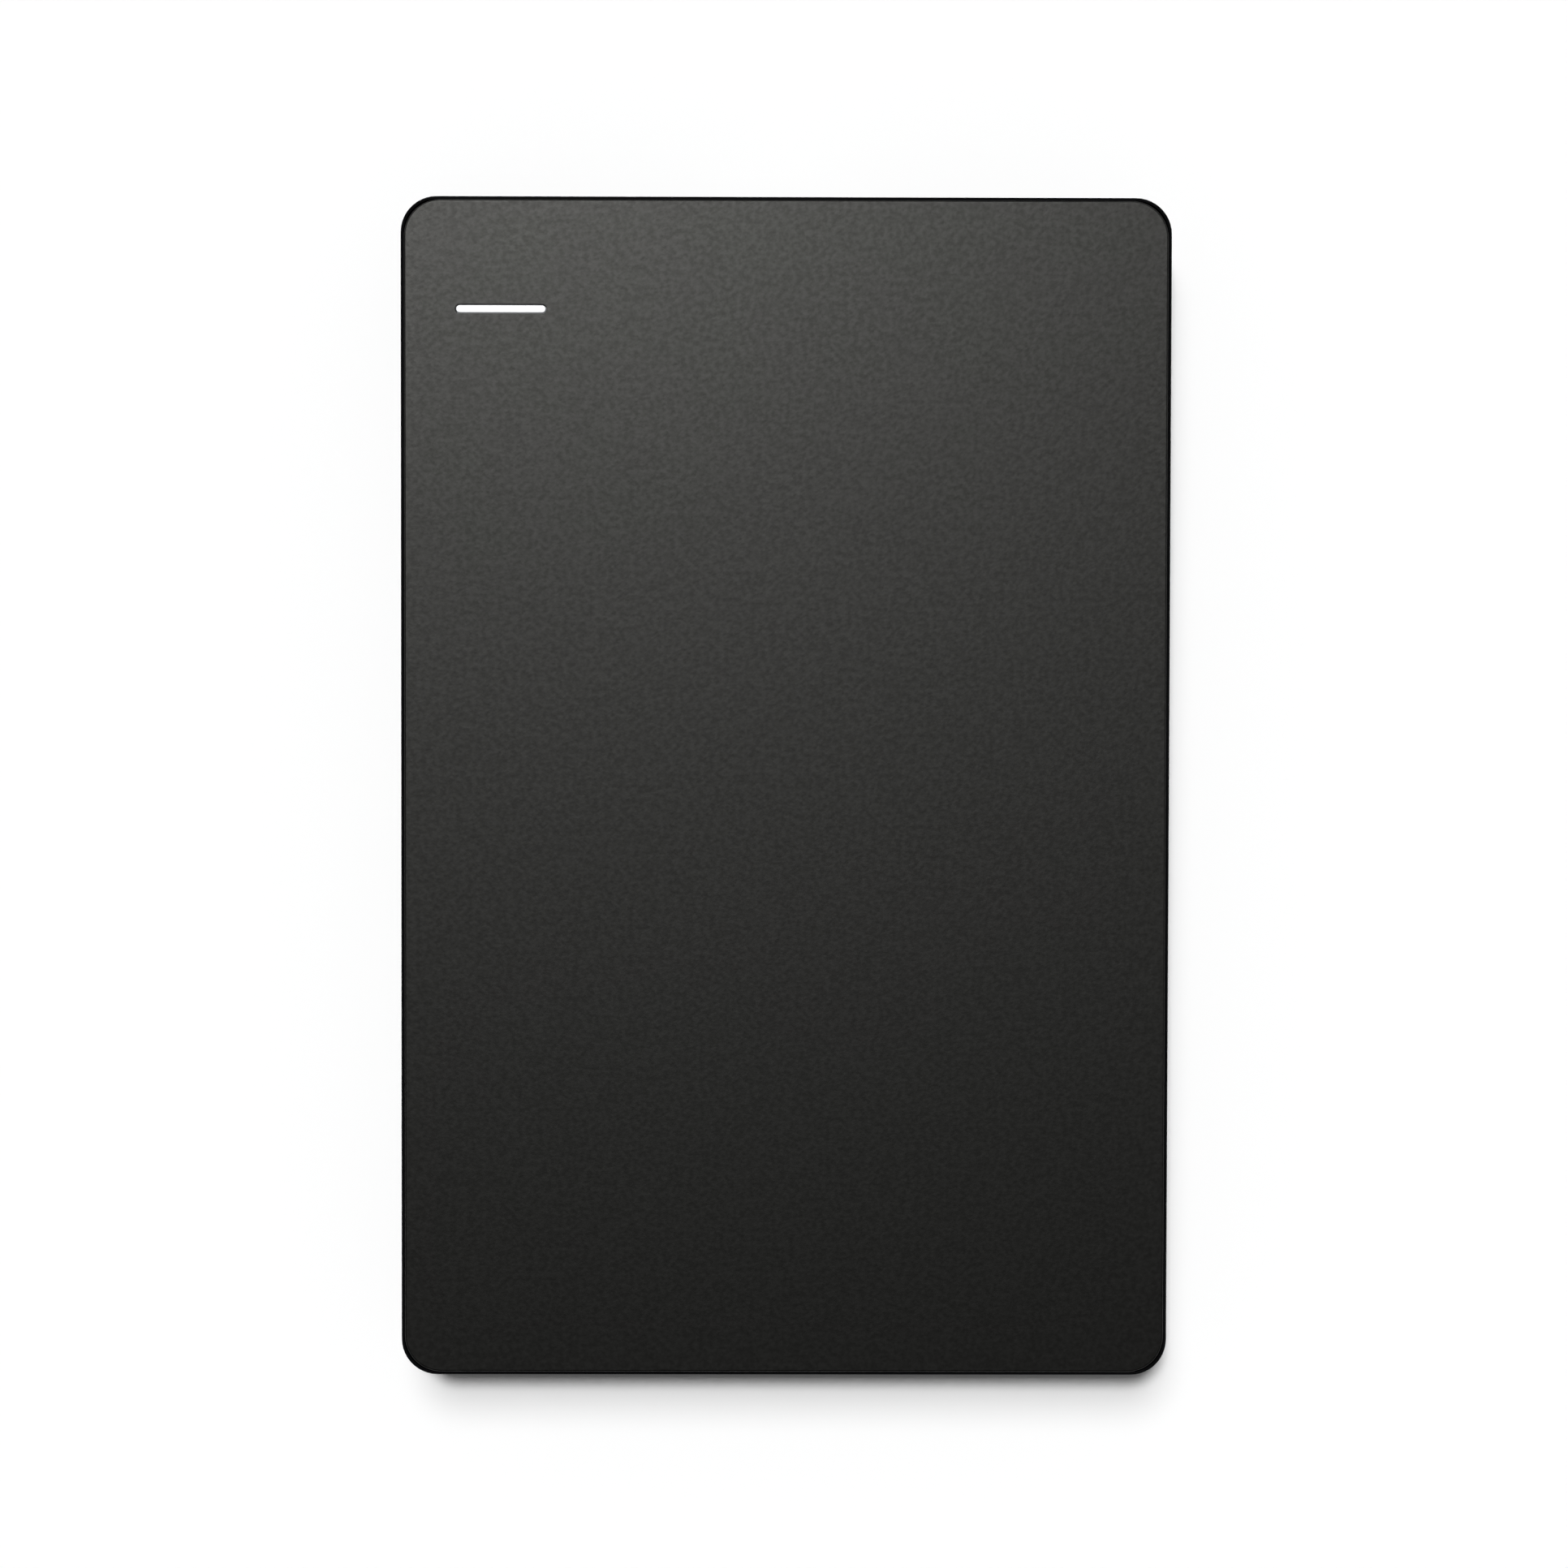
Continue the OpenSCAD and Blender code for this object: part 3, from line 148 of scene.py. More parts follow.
# %% Anodised aluminium
BEAD_MARK = 0.3         # mm
BEAD_DEPTH = 0.006      # mm
DYE_PATCH = 0.5         # mm
material, tree, shader, place = begin_finish("anodised_aluminium", "#20201f", 0.375, 1.0)
beads = add(tree, "TexNoise", {"Vector": place, "Scale": per_mm(BEAD_MARK), "Detail": 3.0})
grain(tree, shader, beads.outputs["Fac"], BEAD_DEPTH)
drift(tree, shader, place, ("#1d1d1c", "#232322"), DYE_PATCH)
finishes["anodised_plate"] = material
print(material.name, "has", len(tree.nodes), "nodes")

# %% [markdown]
# ## Moulded ABS
#
# The shells are ABS, a tough plastic, with carbon black all through it. The steel
# mould is eroded by sparks, and its tiny craters print a leathery matt texture on
# the walls. Cells of 0.18 mm with soft edges draw those craters, and they also
# make the surface a little rougher in the pits. So rough a black mirrors next to
# nothing of the lamps, which keeps the border round the plate black.

# %% Moulded ABS
CRATER = 0.18           # mm
CRATER_DEPTH = 0.03     # mm
BLACK_PATCH = 6         # mm
PIT_ROUGHNESS = 0.94
RIM_ROUGHNESS = 0.84
MIRRORED = 0.05         # a tenth of what a glossy plastic mirrors
material, tree, shader, place = begin_finish("moulded_abs", "#050506", 0.9)
craters = add(tree, "TexVoronoi", {"Vector": place, "Scale": per_mm(CRATER)}, feature="SMOOTH_F1")
grain(tree, shader, craters.outputs["Distance"], CRATER_DEPTH)
matt = add(tree, "MapRange", {
    "Value": craters.outputs["Distance"], "To Min": PIT_ROUGHNESS, "To Max": RIM_ROUGHNESS,
})
tree.links.new(matt.outputs["Result"], shader.inputs["Roughness"])
drift(tree, shader, place, ("#040405", "#070708"), BLACK_PATCH)
shader.inputs["Specular IOR Level"].default_value = MIRRORED
finishes["shell_plastic"] = material
print(material.name, "has", len(tree.nodes), "nodes")

# %% [markdown]
# ## Opal polycarbonate
#
# The light bar is polycarbonate with a white pigment, and it is moulded smooth.
# A light-emitting diode under it makes it glow, brightest above the diode and
# slightly less at both ends. A little emission, spread by the distance from the
# diode, does this without a lamp in the scene.

# %% Opal polycarbonate
GLOW_NEAR = 4 * MM      # from the diode
GLOW_FAR = 12 * MM
GLOW_BRIGHT = 0.16
GLOW_WEAK = 0.1
material, tree, shader, place = begin_finish("opal_polycarbonate", "#e8eaeb", 0.3)
shader.inputs["Emission Color"].default_value = linear("#fbfcff")
led_low, led_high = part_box("indicator_led")
led = (led_low + led_high) / 2
reach = add(tree, "VectorMath", {0: place, 1: led}, operation="DISTANCE")
glow = add(tree, "MapRange", {
    "Value": reach.outputs["Value"], "From Min": GLOW_NEAR, "From Max": GLOW_FAR,
    "To Min": GLOW_BRIGHT, "To Max": GLOW_WEAK,
})
tree.links.new(glow.outputs["Result"], shader.inputs["Emission Strength"])
finishes["light_plastic"] = material
print(material.name, "glows from", [round(v / MM, 1) for v in led])

# %% [markdown]
# ## Silicone rubber, and the other soft pieces
#
# The feet are silicone rubber with a dull skin, the bumpers and the gasket are a
# softer grey grade, and the sheet under the plate is foam with tape on both
# sides. The filters are felted fibre. These four are told apart by tone, grain
# size and depth of grain, so one table holds them.

# %% Rubber, foam and fibre
SOFT = {
    # slot: name, tones, roughness, grain in mm, depth in mm
    "foot_rubber": ("silicone_rubber", ("#1b1b1b", "#212121"), 0.72, 0.12, 0.012),
    "bumper_rubber": ("soft_silicone", ("#34363a", "#3b3d40"), 0.66, 0.2, 0.012),
    "adhesive": ("foam_tape", ("#dcd8cc", "#e6e2d6"), 0.8, 0.25, 0.03),
    "filter_fibre": ("felted_fibre", ("#e4e4de", "#f1f1ea"), 0.9, 0.3, 0.06),
}
SOFT_PATCH = 12         # grains in a patch of one tone
DUST = 0.1              # the pale sheen that fine hairs and dust give a soft surface
for slot, (name, tones, roughness, size, depth) in SOFT.items():
    material, tree, shader, place = begin_finish(name, tones[0], roughness)
    specks = add(tree, "TexNoise", {"Vector": place, "Scale": per_mm(size), "Detail": 4.0})
    grain(tree, shader, specks.outputs["Fac"], depth)
    drift(tree, shader, place, tones, SOFT_PATCH * size)
    shader.inputs["Sheen Weight"].default_value = DUST
    finishes[slot] = material
print(len(SOFT), "soft finishes")

# %% [markdown]
# ## Plastics and resins inside
#
# Connectors are moulded in a black plastic filled with glass fibre, chips in a
# resin filled with quartz, the ramp in a slippery white plastic, and the heads'
# sliders are a dark sintered ceramic. They differ in tone, gloss and grain.

# %% Plastics and resins
HARD = {
    # slot: name, tones, roughness, grain in mm, depth in mm
    "connector_plastic": ("glass_filled_plastic", ("#151516", "#1c1c1d"), 0.5, 0.25, 0.008),
    "chip_resin": ("filled_epoxy", ("#1f1f20", "#272728"), 0.6, 0.08, 0.006),
    "led_resin": ("clear_resin", ("#eee6c4", "#f4edd2"), 0.15, 0.5, 0.002),
    "slider_ceramic": ("sintered_ceramic", ("#37383f", "#3d3e45"), 0.3, 0.05, 0.002),
    "ramp_plastic": ("acetal", ("#e2ddcd", "#ebe6d8"), 0.4, 0.4, 0.006),
}
HARD_PATCH = 10         # grains in a patch of one tone
for slot, (name, tones, roughness, size, depth) in HARD.items():
    material, tree, shader, place = begin_finish(name, tones[0], roughness)
    specks = add(tree, "TexNoise", {"Vector": place, "Scale": per_mm(size), "Detail": 2.0})
    grain(tree, shader, specks.outputs["Fac"], depth)
    drift(tree, shader, place, tones, HARD_PATCH * size)
    finishes[slot] = material
print(len(HARD), "hard plastics and resins")

# %% [markdown]
# ## Metals
#
# Each metal has the colour of its polished face and a roughness from its last
# process. Cast and plated metal has an even grain, so it takes noise. Rolled
# sheet has fine lines along its length, so its noise is stretched along Y by
# a Mapping node.

# %% Metals
METALS = {
    # slot: name, tones, roughness, grain in mm, depth in mm, stretch of the grain along Y
    "cast_aluminium": ("die_cast_aluminium", ("#c2c4c6", "#cbcdce"), 0.45, 0.5, 0.02, 1),
    "port_steel": ("nickel_plated_steel", ("#c9cacb", "#d3d4d4"), 0.24, 0.3, 0.003, 8),
    "cover_steel": ("rolled_stainless_steel", ("#cccdce", "#d4d5d6"), 0.3, 0.06, 0.003, 30),
    "machined_steel": ("turned_steel", ("#c8c9ca", "#d1d2d3"), 0.25, 0.08, 0.002, 1),
    "contact_gold": ("gold_plate", ("#e5c06a", "#edca76"), 0.22, 0.1, 0.002, 6),
    "bearing_bronze": ("sintered_bronze", ("#cda465", "#d8b073"), 0.4, 0.1, 0.006, 1),
    "magnet_nickel": ("nickel_plated_magnet", ("#b9babd", "#c3c4c7"), 0.2, 0.6, 0.004, 1),
    "stator_steel": ("laminated_steel", ("#9fa1a4", "#aaacaf"), 0.4, 0.1, 0.004, 1),
    "copper_wire": ("enamelled_copper", ("#c87443", "#d98553"), 0.3, 0.12, 0.01, 1),
    "disk_alloy": ("polished_disk_alloy", ("#dddfe2", "#e2e4e6"), 0.05, 0.5, 0.0005, 1),
    "foil": ("tinned_foil", ("#cfc39a", "#d9cea8"), 0.28, 1.6, 0.04, 1),
}
for slot, (name, tones, roughness, size, depth, stretch) in METALS.items():
    material, tree, shader, place = begin_finish(name, tones[0], roughness, 1.0)
    along = add(tree, "Mapping", {"Vector": place, "Scale": (1, 1 / stretch, 1)})
    specks = add(tree, "TexNoise", {
        "Vector": along.outputs["Vector"], "Scale": per_mm(size), "Detail": 2.0,
    })
    grain(tree, shader, specks.outputs["Fac"], depth)
    drift(tree, shader, place, tones, HARD_PATCH * size)
    finishes[slot] = material
print(len(METALS), "metals")

# %% [markdown]
# ## Circuit boards
#
# A circuit board is glass cloth in epoxy, with copper tracks under a green
# lacquer. The tracks show through as slightly lighter lines on a fine grid. Two
# Wave patterns of straight bands cross each other here, and patches of noise
# choose which band shows where, so that the lines break off and turn.

# %% Circuit board
LACQUER = "#12503a"
OVER_COPPER = "#1c6b4c"
TRACK_AREA = 5          # mm, within which the tracks keep one direction
TRACK_RELIEF = 0.03     # mm
TRACK_FOOT = 0.55       # the band's value where a track's flank begins
TRACK_TOP = 0.65
HALF = 0.5              # of the areas have their tracks along X, the others along Y
WAVE_UNIT = 10          # mm, in which a Wave pattern draws about three bands
material, tree, shader, place = begin_finish("lacquered_board", LACQUER, 0.35)
bands = [
    add(tree, "TexWave", {"Vector": place, "Scale": per_mm(WAVE_UNIT), "Distortion": 0.0},
        bands_direction=axis).outputs["Fac"]
    for axis in ("X", "Y")
]
areas = add(tree, "TexVoronoi", {"Vector": place, "Scale": per_mm(TRACK_AREA)}, distance="MANHATTAN")
choice = add(tree, "Math", {0: areas.outputs["Color"], 1: HALF}, operation="GREATER_THAN")
lines = add(tree, "Mix", {0: choice.outputs[0], 2: bands[0], 3: bands[1]})
tracks = add(tree, "MapRange", {
    "Value": lines.outputs[0], "From Min": TRACK_FOOT, "From Max": TRACK_TOP,
})
lacquer = add(tree, "Mix", {
    0: tracks.outputs["Result"], 6: linear(LACQUER), 7: linear(OVER_COPPER),
}, data_type="RGBA")
tree.links.new(lacquer.outputs[2], shader.inputs["Base Color"])
grain(tree, shader, tracks.outputs["Result"], TRACK_RELIEF)
finishes["circuit_board"] = material
print(material.name, "has", len(tree.nodes), "nodes")

# %% [markdown]
# ## Every piece gets its finish
#
# The record of the model says which finish each node has. A node's mesh stays as
# it is, and only its material slots change.

# %% Finishes on the nodes
slot_of = {part["node"]: part["material_slot"] for part in frame["record"]["subparts"]}
for name, piece in nodes.items():
    piece.data.materials.clear()
    piece.data.materials.append(finishes[slot_of[name]])
print("finished nodes:", len(slot_of))

# %% [markdown]
# ## Modelling by hand, in code
#
# A piece starts as a block or a drum of the right size, and edit mode then shapes
# it: bevel rounds edges, inset and extrude step a face in or out. An operator
# acts on all that is selected, so one helper clears the selection and picks
# faces or edges by where they are. Every piece ends with its object at the
# origin and its place in its mesh.

# %% Helpers for modelling
import bmesh

NEAR = 0.001 * MM
SMOOTH_BELOW = 35       # degrees between faces that are shaded as one


def clear():
    """Leaves edit mode, and deselects everything."""
    if bpy.context.mode != "OBJECT":
        bpy.ops.object.mode_set(mode="OBJECT")
    bpy.ops.object.select_all(action="DESELECT")


def block(name, low, high):
    """A block between two corners, with its place in its mesh."""
    low, high = Vector(low), Vector(high)
    clear()
    bpy.ops.mesh.primitive_cube_add(size=1, location=(low + high) / 2, scale=high - low)
    return placed(name)


def drum(name, centre, radius, low_z, high_z, sides=96):
    """An upright cylinder, with its place in its mesh."""
    clear()
    bpy.ops.mesh.primitive_cylinder_add(
        vertices=sides, radius=radius, depth=high_z - low_z,
        location=(centre[0], centre[1], (low_z + high_z) / 2),
    )
    return placed(name)


def only(piece):
    """Leaves edit mode, and makes the piece the one selected object."""
    clear()
    bpy.context.view_layer.objects.active = piece
    piece.select_set(True)


def placed(name):
    """Names the new object and moves its place into its mesh."""
    piece = bpy.context.object
    piece.name = piece.data.name = name
    bpy.ops.object.transform_apply(location=True, rotation=True, scale=True)
    return piece


def pick(piece, kind, wanted):
    """In edit mode, selects the faces, edges or corners that pass the test, and nothing else."""
    if bpy.context.mode == "OBJECT":
        only(piece)
        bpy.ops.object.mode_set(mode="EDIT")
    bpy.ops.mesh.select_mode(type=kind)
    bpy.ops.mesh.select_all(action="DESELECT")
    mesh = bmesh.from_edit_mesh(piece.data)
    parts = {"FACE": mesh.faces, "EDGE": mesh.edges, "VERT": mesh.verts}[kind]
    found = [part for part in parts if wanted(part)]
    for part in found:
        part.select_set(True)
    bmesh.update_edit_mesh(piece.data)
    return len(found)


def upright(edge):
    """Whether an edge stands straight up."""
    a, b = (v.co for v in edge.verts)
    return (a.xy - b.xy).length < NEAR


def level(z):
    """A test for edges and faces that lie at that height."""
    return lambda part: all(abs(v.co.z - z) < NEAR for v in part.verts)


def bevel(width, steps):
    """Rounds the selected edges with that many facets."""
    bpy.ops.mesh.bevel(offset=width, segments=steps, profile=0.5, affect="EDGES")


def done(piece, slot, body, *stands_for):
    """Leaves edit mode, smooths the shading, gives the piece its finish, hangs it on its body and
    hides the nodes it stands for.
    """
    only(piece)
    bpy.ops.object.shade_smooth_by_angle(angle=math.radians(SMOOTH_BELOW))
    piece.modifiers.new("flat faces stay flat", "WEIGHTED_NORMAL").keep_sharp = True
    bpy.ops.object.modifier_apply(modifier="flat faces stay flat")
    piece.data.materials.clear()
    piece.data.materials.append(finishes[slot])
    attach(piece, body)
    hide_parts(*stands_for)
    print(piece.name, "has", len(piece.data.polygons), "faces")


def combine(piece, other, operation):
    """Unites the piece with another, or takes the other's shape out of it."""
    only(piece)
    joint = piece.modifiers.new("joint", "BOOLEAN")
    joint.object, joint.operation, joint.solver = other, operation, "EXACT"
    bpy.ops.object.modifier_apply(modifier="joint")
    bpy.data.objects.remove(other)


def joined(pieces):
    """Makes one piece of several."""
    only(pieces[0])
    for piece in pieces:
        piece.select_set(True)
    bpy.ops.object.join()
    return bpy.context.object


def copied(piece, name, shift):
    """A copy of the piece, with its own mesh, moved by that much."""
    only(piece)
    bpy.ops.object.duplicate(linked=False)
    bpy.ops.transform.translate(value=shift)
    return placed(name)


print("modelling helpers ready")

# %% [markdown]
# ## The front plate
#
# The real plate is punched from aluminium sheet, and its upper edge is rounded
# by the punch and the blasting. It is one block here: its four upright edges are
# bevelled to the corner radius, then the upper rim gets its fine rounding. The
# corner radius is larger than that of the border round the plate, so the black
# border is a little wider at the corners, as on the real drive. The slot for the
# light bar is cut with a smaller block whose ends are bevelled until they are half
# circles.

# %% Front plate
PLATE_CORNER = 3.6 * MM
PLATE_EDGE = 0.2 * MM
SLOT_GAP = 0.1 * MM
SLOT_EDGE = 0.04 * MM
ALMOST = 0.998          # of half the width, so that a bar's two bevels don't run into each other
low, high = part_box("front_plate")
plate = block("front_plate_sheet", low, high)
pick(plate, "EDGE", upright)
bevel(PLATE_CORNER, steps=20)
pick(plate, "EDGE", level(high.z))
bevel(PLATE_EDGE, steps=5)

bar_low, bar_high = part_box("light_pipe")
bar_middle = (bar_low + bar_high) / 2
BAR_HALF = Vector((4.4, 0.36, 0)) * MM


def bar_block(name, grow, low_z, high_z):
    """A block of the light bar's outline, with half round ends."""
    half = BAR_HALF + Vector((grow, grow, 0))
    piece = block(name, (bar_middle - half).xy.to_3d() + Vector((0, 0, low_z)),
                  (bar_middle + half).xy.to_3d() + Vector((0, 0, high_z)))
    pick(piece, "EDGE", upright)
    bevel(half.y * ALMOST, steps=12)
    bpy.ops.object.mode_set(mode="OBJECT")
    return piece


def in_slot(edge):
    """Whether an edge is on the rim of the light bar's slot, and not inside a flat face."""
    near_bar = all((v.co - bar_middle).xy.length < 2 * BAR_HALF.x for v in edge.verts)
    return near_bar and level(high.z)(edge) and edge.calc_face_angle(0) > 1


combine(plate, bar_block("slot_cutter", SLOT_GAP, low.z - MM, high.z + MM), "DIFFERENCE")
print("slot edges:", pick(plate, "EDGE", in_slot))
bevel(SLOT_EDGE, steps=2)
done(plate, "anodised_plate", "enclosure", "front_plate")

# %% [markdown]
# ## The light bar
#
# The light bar is the polished end of a light guide. The guide has a flange that
# is glued under the deck, and a stem that narrows down to the diode. Three simple
# bodies are made and united. The bar's upper rim gets a rounding of less than a
# tenth of a millimetre, which catches a thin line of light.

# %% Light bar
BAR_EDGE = 0.08 * MM
FLANGE_HALF = Vector((5.4, 1.2, 0)) * MM
FLANGE_CORNER = 0.6 * MM
FLANGE_T = 0.6 * MM
DECK_LOW = 10.3 * MM
STEM_FLARE = 0.8 * MM
STEM_NARROW = 0.22      # the stem's lower end, as a share of the bar's length


def around(middle, half, z):
    """A corner of a block around the middle, at that height."""
    return Vector((middle.x + half.x, middle.y + half.y, z))


guide = bar_block("light_guide", 0, DECK_LOW - FLANGE_T / 2, bar_high.z)
pick(guide, "EDGE", level(bar_high.z))
bevel(BAR_EDGE, steps=3)

flange = block("flange", around(bar_middle, -FLANGE_HALF, DECK_LOW - FLANGE_T),
               around(bar_middle, FLANGE_HALF, DECK_LOW))
pick(flange, "EDGE", upright)
bevel(FLANGE_CORNER, steps=8)
combine(guide, flange, "UNION")

stem_top = DECK_LOW - FLANGE_T
stem = block("stem", around(bar_middle, -BAR_HALF, bar_low.z),
             around(bar_middle, BAR_HALF, stem_top + SLOT_GAP))
pick(stem, "FACE", lambda face: True)
bpy.ops.mesh.bisect(plane_co=(0, 0, stem_top - STEM_FLARE), plane_no=(0, 0, 1))
pick(stem, "FACE", level(bar_low.z))
bpy.ops.transform.resize(
    value=(STEM_NARROW, 1, 1), center_override=around(bar_middle, Vector(), bar_low.z))
combine(guide, stem, "UNION")
done(guide, "light_plastic", "enclosure", "light_pipe")

# %% [markdown]
# ## The feet
#
# Each foot is a disk that is punched from a sheet of rubber and glued into its
# recess. The punch leaves the rim slightly round, and the moulded face has a
# shallow dish, so that the foot grips by its ring. One foot is modelled, and the
# other three are copies, each with its own mesh.

# %% Feet
FOOT_RIM = 0.3 * MM
FOOT_RING = 0.9 * MM
FOOT_DISH = 0.07 * MM
FOOT_SLOPE = 0.21 * MM
FOOT_NODES = ["foot_port_left", "foot_port_right", "foot_far_left", "foot_far_right"]
places = {node: (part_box(node)[0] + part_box(node)[1]) / 2 for node in FOOT_NODES}
low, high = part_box(FOOT_NODES[0])
first = drum("rubber_foot", places[FOOT_NODES[0]], (high.x - low.x) / 2, low.z, high.z)
pick(first, "EDGE", level(low.z))
bevel(FOOT_RIM, steps=5)
pick(first, "FACE", level(low.z))
bpy.ops.mesh.inset(thickness=FOOT_RING, depth=0)
bpy.ops.mesh.inset(thickness=FOOT_SLOPE, depth=-FOOT_DISH)
bpy.ops.object.mode_set(mode="OBJECT")
feet = [first] + [
    copied(first, "rubber_foot", places[node] - places[FOOT_NODES[0]]) for node in FOOT_NODES[1:]
]
for foot, node in zip(feet, FOOT_NODES):
    foot.name = foot.data.name = node + "_pad"
    done(foot, "foot_rubber", "enclosure", node)

# %% [markdown]
# ## The port's shell
#
# The port is a steel strip folded into a flat tube with two bays, a wide one and
# a narrow one, with a notch between them that keeps the plug from going in the
# wrong way round. A block takes the outline: the wide bay's lower corners are
# bevelled and the notch is cut. The front face is then inset by the sheet's
# thickness and pushed in, which hollows the tube, and its rim is flared a little,
# as on the real one, to lead the plug in. Two slots in the roof hold its latches.

# %% Port shell
SHEET = 0.3 * MM
PORT_LOW = 4.4 * MM
PORT_HIGH = 6.9 * MM
PORT_WIDE = 6.8 * MM
PORT_NOTCH = 1.0 * MM
NOTCH_H = 0.75 * MM
PORT_CORNER = 0.6 * MM
FOLD = 0.25 * MM
FLARE = 0.12 * MM
LATCH = Vector((0.7, 1.4)) * MM
LATCH_IN = 1.2 * MM     # from the wide bay's ends
LATCH_BACK = 2.8 * MM   # behind the port's front
LEG_PLACES = (1.4 * MM, 3.9 * MM)
LEG_L = 1.2 * MM
shell_low, shell_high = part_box("usb_shell")
left = shell_low.x
front = shell_high.y
strip = block("port_shell", (left, shell_low.y, PORT_LOW), (shell_high.x, front, PORT_HIGH))
notch_x = left + SHEET + PORT_WIDE + SHEET
notch = block("notch", (notch_x, shell_low.y - MM, PORT_LOW - MM),
              (notch_x + PORT_NOTCH - 2 * SHEET, front + MM, PORT_LOW + NOTCH_H))
combine(strip, notch, "DIFFERENCE")


def along_y(x_values, z):
    """A test for edges that run along Y at that height and at one of those places."""
    def test(edge):
        a, b = (v.co for v in edge.verts)
        return (a.xz - b.xz).length < NEAR and abs(a.z - z) < NEAR and any(
            abs(a.x - x) < NEAR for x in x_values)
    return test


pick(strip, "EDGE", along_y((left, notch_x), PORT_LOW))
bevel(PORT_CORNER, steps=1)
pick(strip, "EDGE", along_y((left, shell_high.x), PORT_HIGH))
bevel(FOLD, steps=5)


def facing_front(face):
    """Whether a face lies in the port's front plane and faces outwards."""
    return face.normal.y > 0.9 and abs(face.calc_center_median().y - front) < NEAR


pick(strip, "FACE", facing_front)
bpy.ops.mesh.inset(thickness=SHEET, depth=0, use_even_offset=True)
bpy.ops.mesh.extrude_region_move(
    TRANSFORM_OT_translate={"value": (0, shell_low.y + SHEET - front, 0)})
pick(strip, "FACE", facing_front)
bpy.ops.mesh.extrude_region_move(TRANSFORM_OT_translate={"value": (0, FLARE, 0)})
middle = Vector(((left + shell_high.x) / 2, front + FLARE, (PORT_LOW + PORT_HIGH) / 2))
half = Vector((shell_high.x - left, 0, PORT_HIGH - PORT_LOW)) / 2
bpy.ops.transform.resize(value=(1 + FLARE / half.x, 1, 1 + FLARE / half.z), center_override=middle)
for x in (left + LATCH_IN, left + PORT_WIDE - LATCH_IN):
    latch = block("latch_slot", (x, front - LATCH_BACK - LATCH.y, PORT_HIGH - 2 * SHEET),
                  (x + LATCH.x, front - LATCH_BACK, PORT_HIGH + SHEET))
    combine(strip, latch, "DIFFERENCE")
for x in (left, shell_high.x - SHEET):
    for y in LEG_PLACES:
        leg = block("leg", (x, shell_low.y + y, shell_low.z),
                    (x + SHEET, shell_low.y + y + LEG_L, PORT_LOW + PORT_CORNER + SHEET))
        combine(strip, leg, "UNION")
done(strip, "port_steel", "enclosure", "usb_shell")

# %% [markdown]
# ## The voice coil
#
# A flat coil between two magnets swings the head arm. It is wound from enamelled
# copper wire, 13 turns side by side in four layers, and baked until the lacquer
# holds the turns together. Each turn is a ring of wire here: a torus whose four
# quarters are moved apart, so that round corners join straight runs. One layer is
# made of such rings, and the others are copies that lie on it.

# %% Voice coil
WIRE = 0.2 * MM             # with its lacquer
COPPER = 0.19 * MM
COIL_FAR = 15.2 * MM        # from the pivot to the coil's outer edge
COIL_HALF = 5.2 * MM
COIL_BAND = 2.6 * MM
COIL_CORNERS = (1.4 * MM, 0.7 * MM)     # bends of the outermost and innermost turn
QUARTER_STEPS = 8
WIRE_SIDES = 12

coil_low, coil_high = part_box("voice_coil")
coil_middle = (Vector(coil_low) + Vector(coil_high)) / 2
pivot = Vector(next(j["pos_m"] for j in frame["record"]["behaviour"]["joints"]
                    if j["name"] == "arm_swing"))
outward = (coil_middle - pivot).xy
half_length = COIL_FAR - outward.length
turns = round(COIL_BAND / WIRE)
layers = round((coil_high[2] - coil_low[2]) / WIRE)

rings = []
for turn in range(turns):
    bend = COIL_CORNERS[0] + (COIL_CORNERS[1] - COIL_CORNERS[0]) * turn / (turns - 1)
    inward = WIRE * (turn + 0.5)
    clear()
    bpy.ops.mesh.primitive_torus_add(
        major_segments=4 * QUARTER_STEPS, minor_segments=WIRE_SIDES,
        major_radius=bend, minor_radius=COPPER / 2,
        rotation=(0, 0, math.pi / (4 * QUARTER_STEPS)),
    )
    ring = placed("turn")
    for axis, half in ((0, half_length), (1, COIL_HALF)):
        for side in (-1, 1):
            pick(ring, "VERT", lambda corner: corner.co[axis] * side > 0)
            move = [0, 0, 0]
            move[axis] = side * (half - inward - bend)
            bpy.ops.transform.translate(value=move)
    rings.append(ring)

layer = joined(rings)
coil = joined([layer] + [copied(layer, "layer", (0, 0, WIRE * i)) for i in range(1, layers)])
coil.rotation_euler.z = math.atan2(outward.y, outward.x)
coil.location = (coil_middle.x, coil_middle.y, coil_low[2] + WIRE / 2)
coil = placed("voice_coil_wire")
done(coil, "copper_wire", "head_arm", "voice_coil")
print(turns, "turns in", layers, "layers")

# %% [markdown]
# ## The floor
#
# The drive lies on a white sheet that runs out of the picture. Its own white is
# real, and a faint glow for the camera and for reflections lifts it to a clean
# background, while the soft shadow next to the drive stays.

# %% Floor
FLOOR_SIZE = 6.0
FLOOR_LIFT = 0.03
clear()
bpy.ops.mesh.primitive_plane_add(size=FLOOR_SIZE, location=(0, 0, 0))
floor = bpy.context.object
floor.name = "floor"
material, tree, shader, place = begin_finish("white_paper", "#f6f6f6", 0.9)
shader.inputs["Specular IOR Level"].default_value = 0.0
path = add(tree, "LightPath")
seen = add(tree, "Math", {0: path.outputs["Is Camera Ray"], 1: path.outputs["Is Glossy Ray"]},
           operation="MAXIMUM")
seen = add(tree, "Math", {0: seen.outputs[0], 1: path.outputs["Is Transmission Ray"]},
           operation="MAXIMUM")
lift = add(tree, "Math", {0: seen.outputs[0], 1: FLOOR_LIFT}, operation="MULTIPLY")
shader.inputs["Emission Color"].default_value = linear("#ffffff")
tree.links.new(lift.outputs[0], shader.inputs["Emission Strength"])
floor.data.materials.append(material)
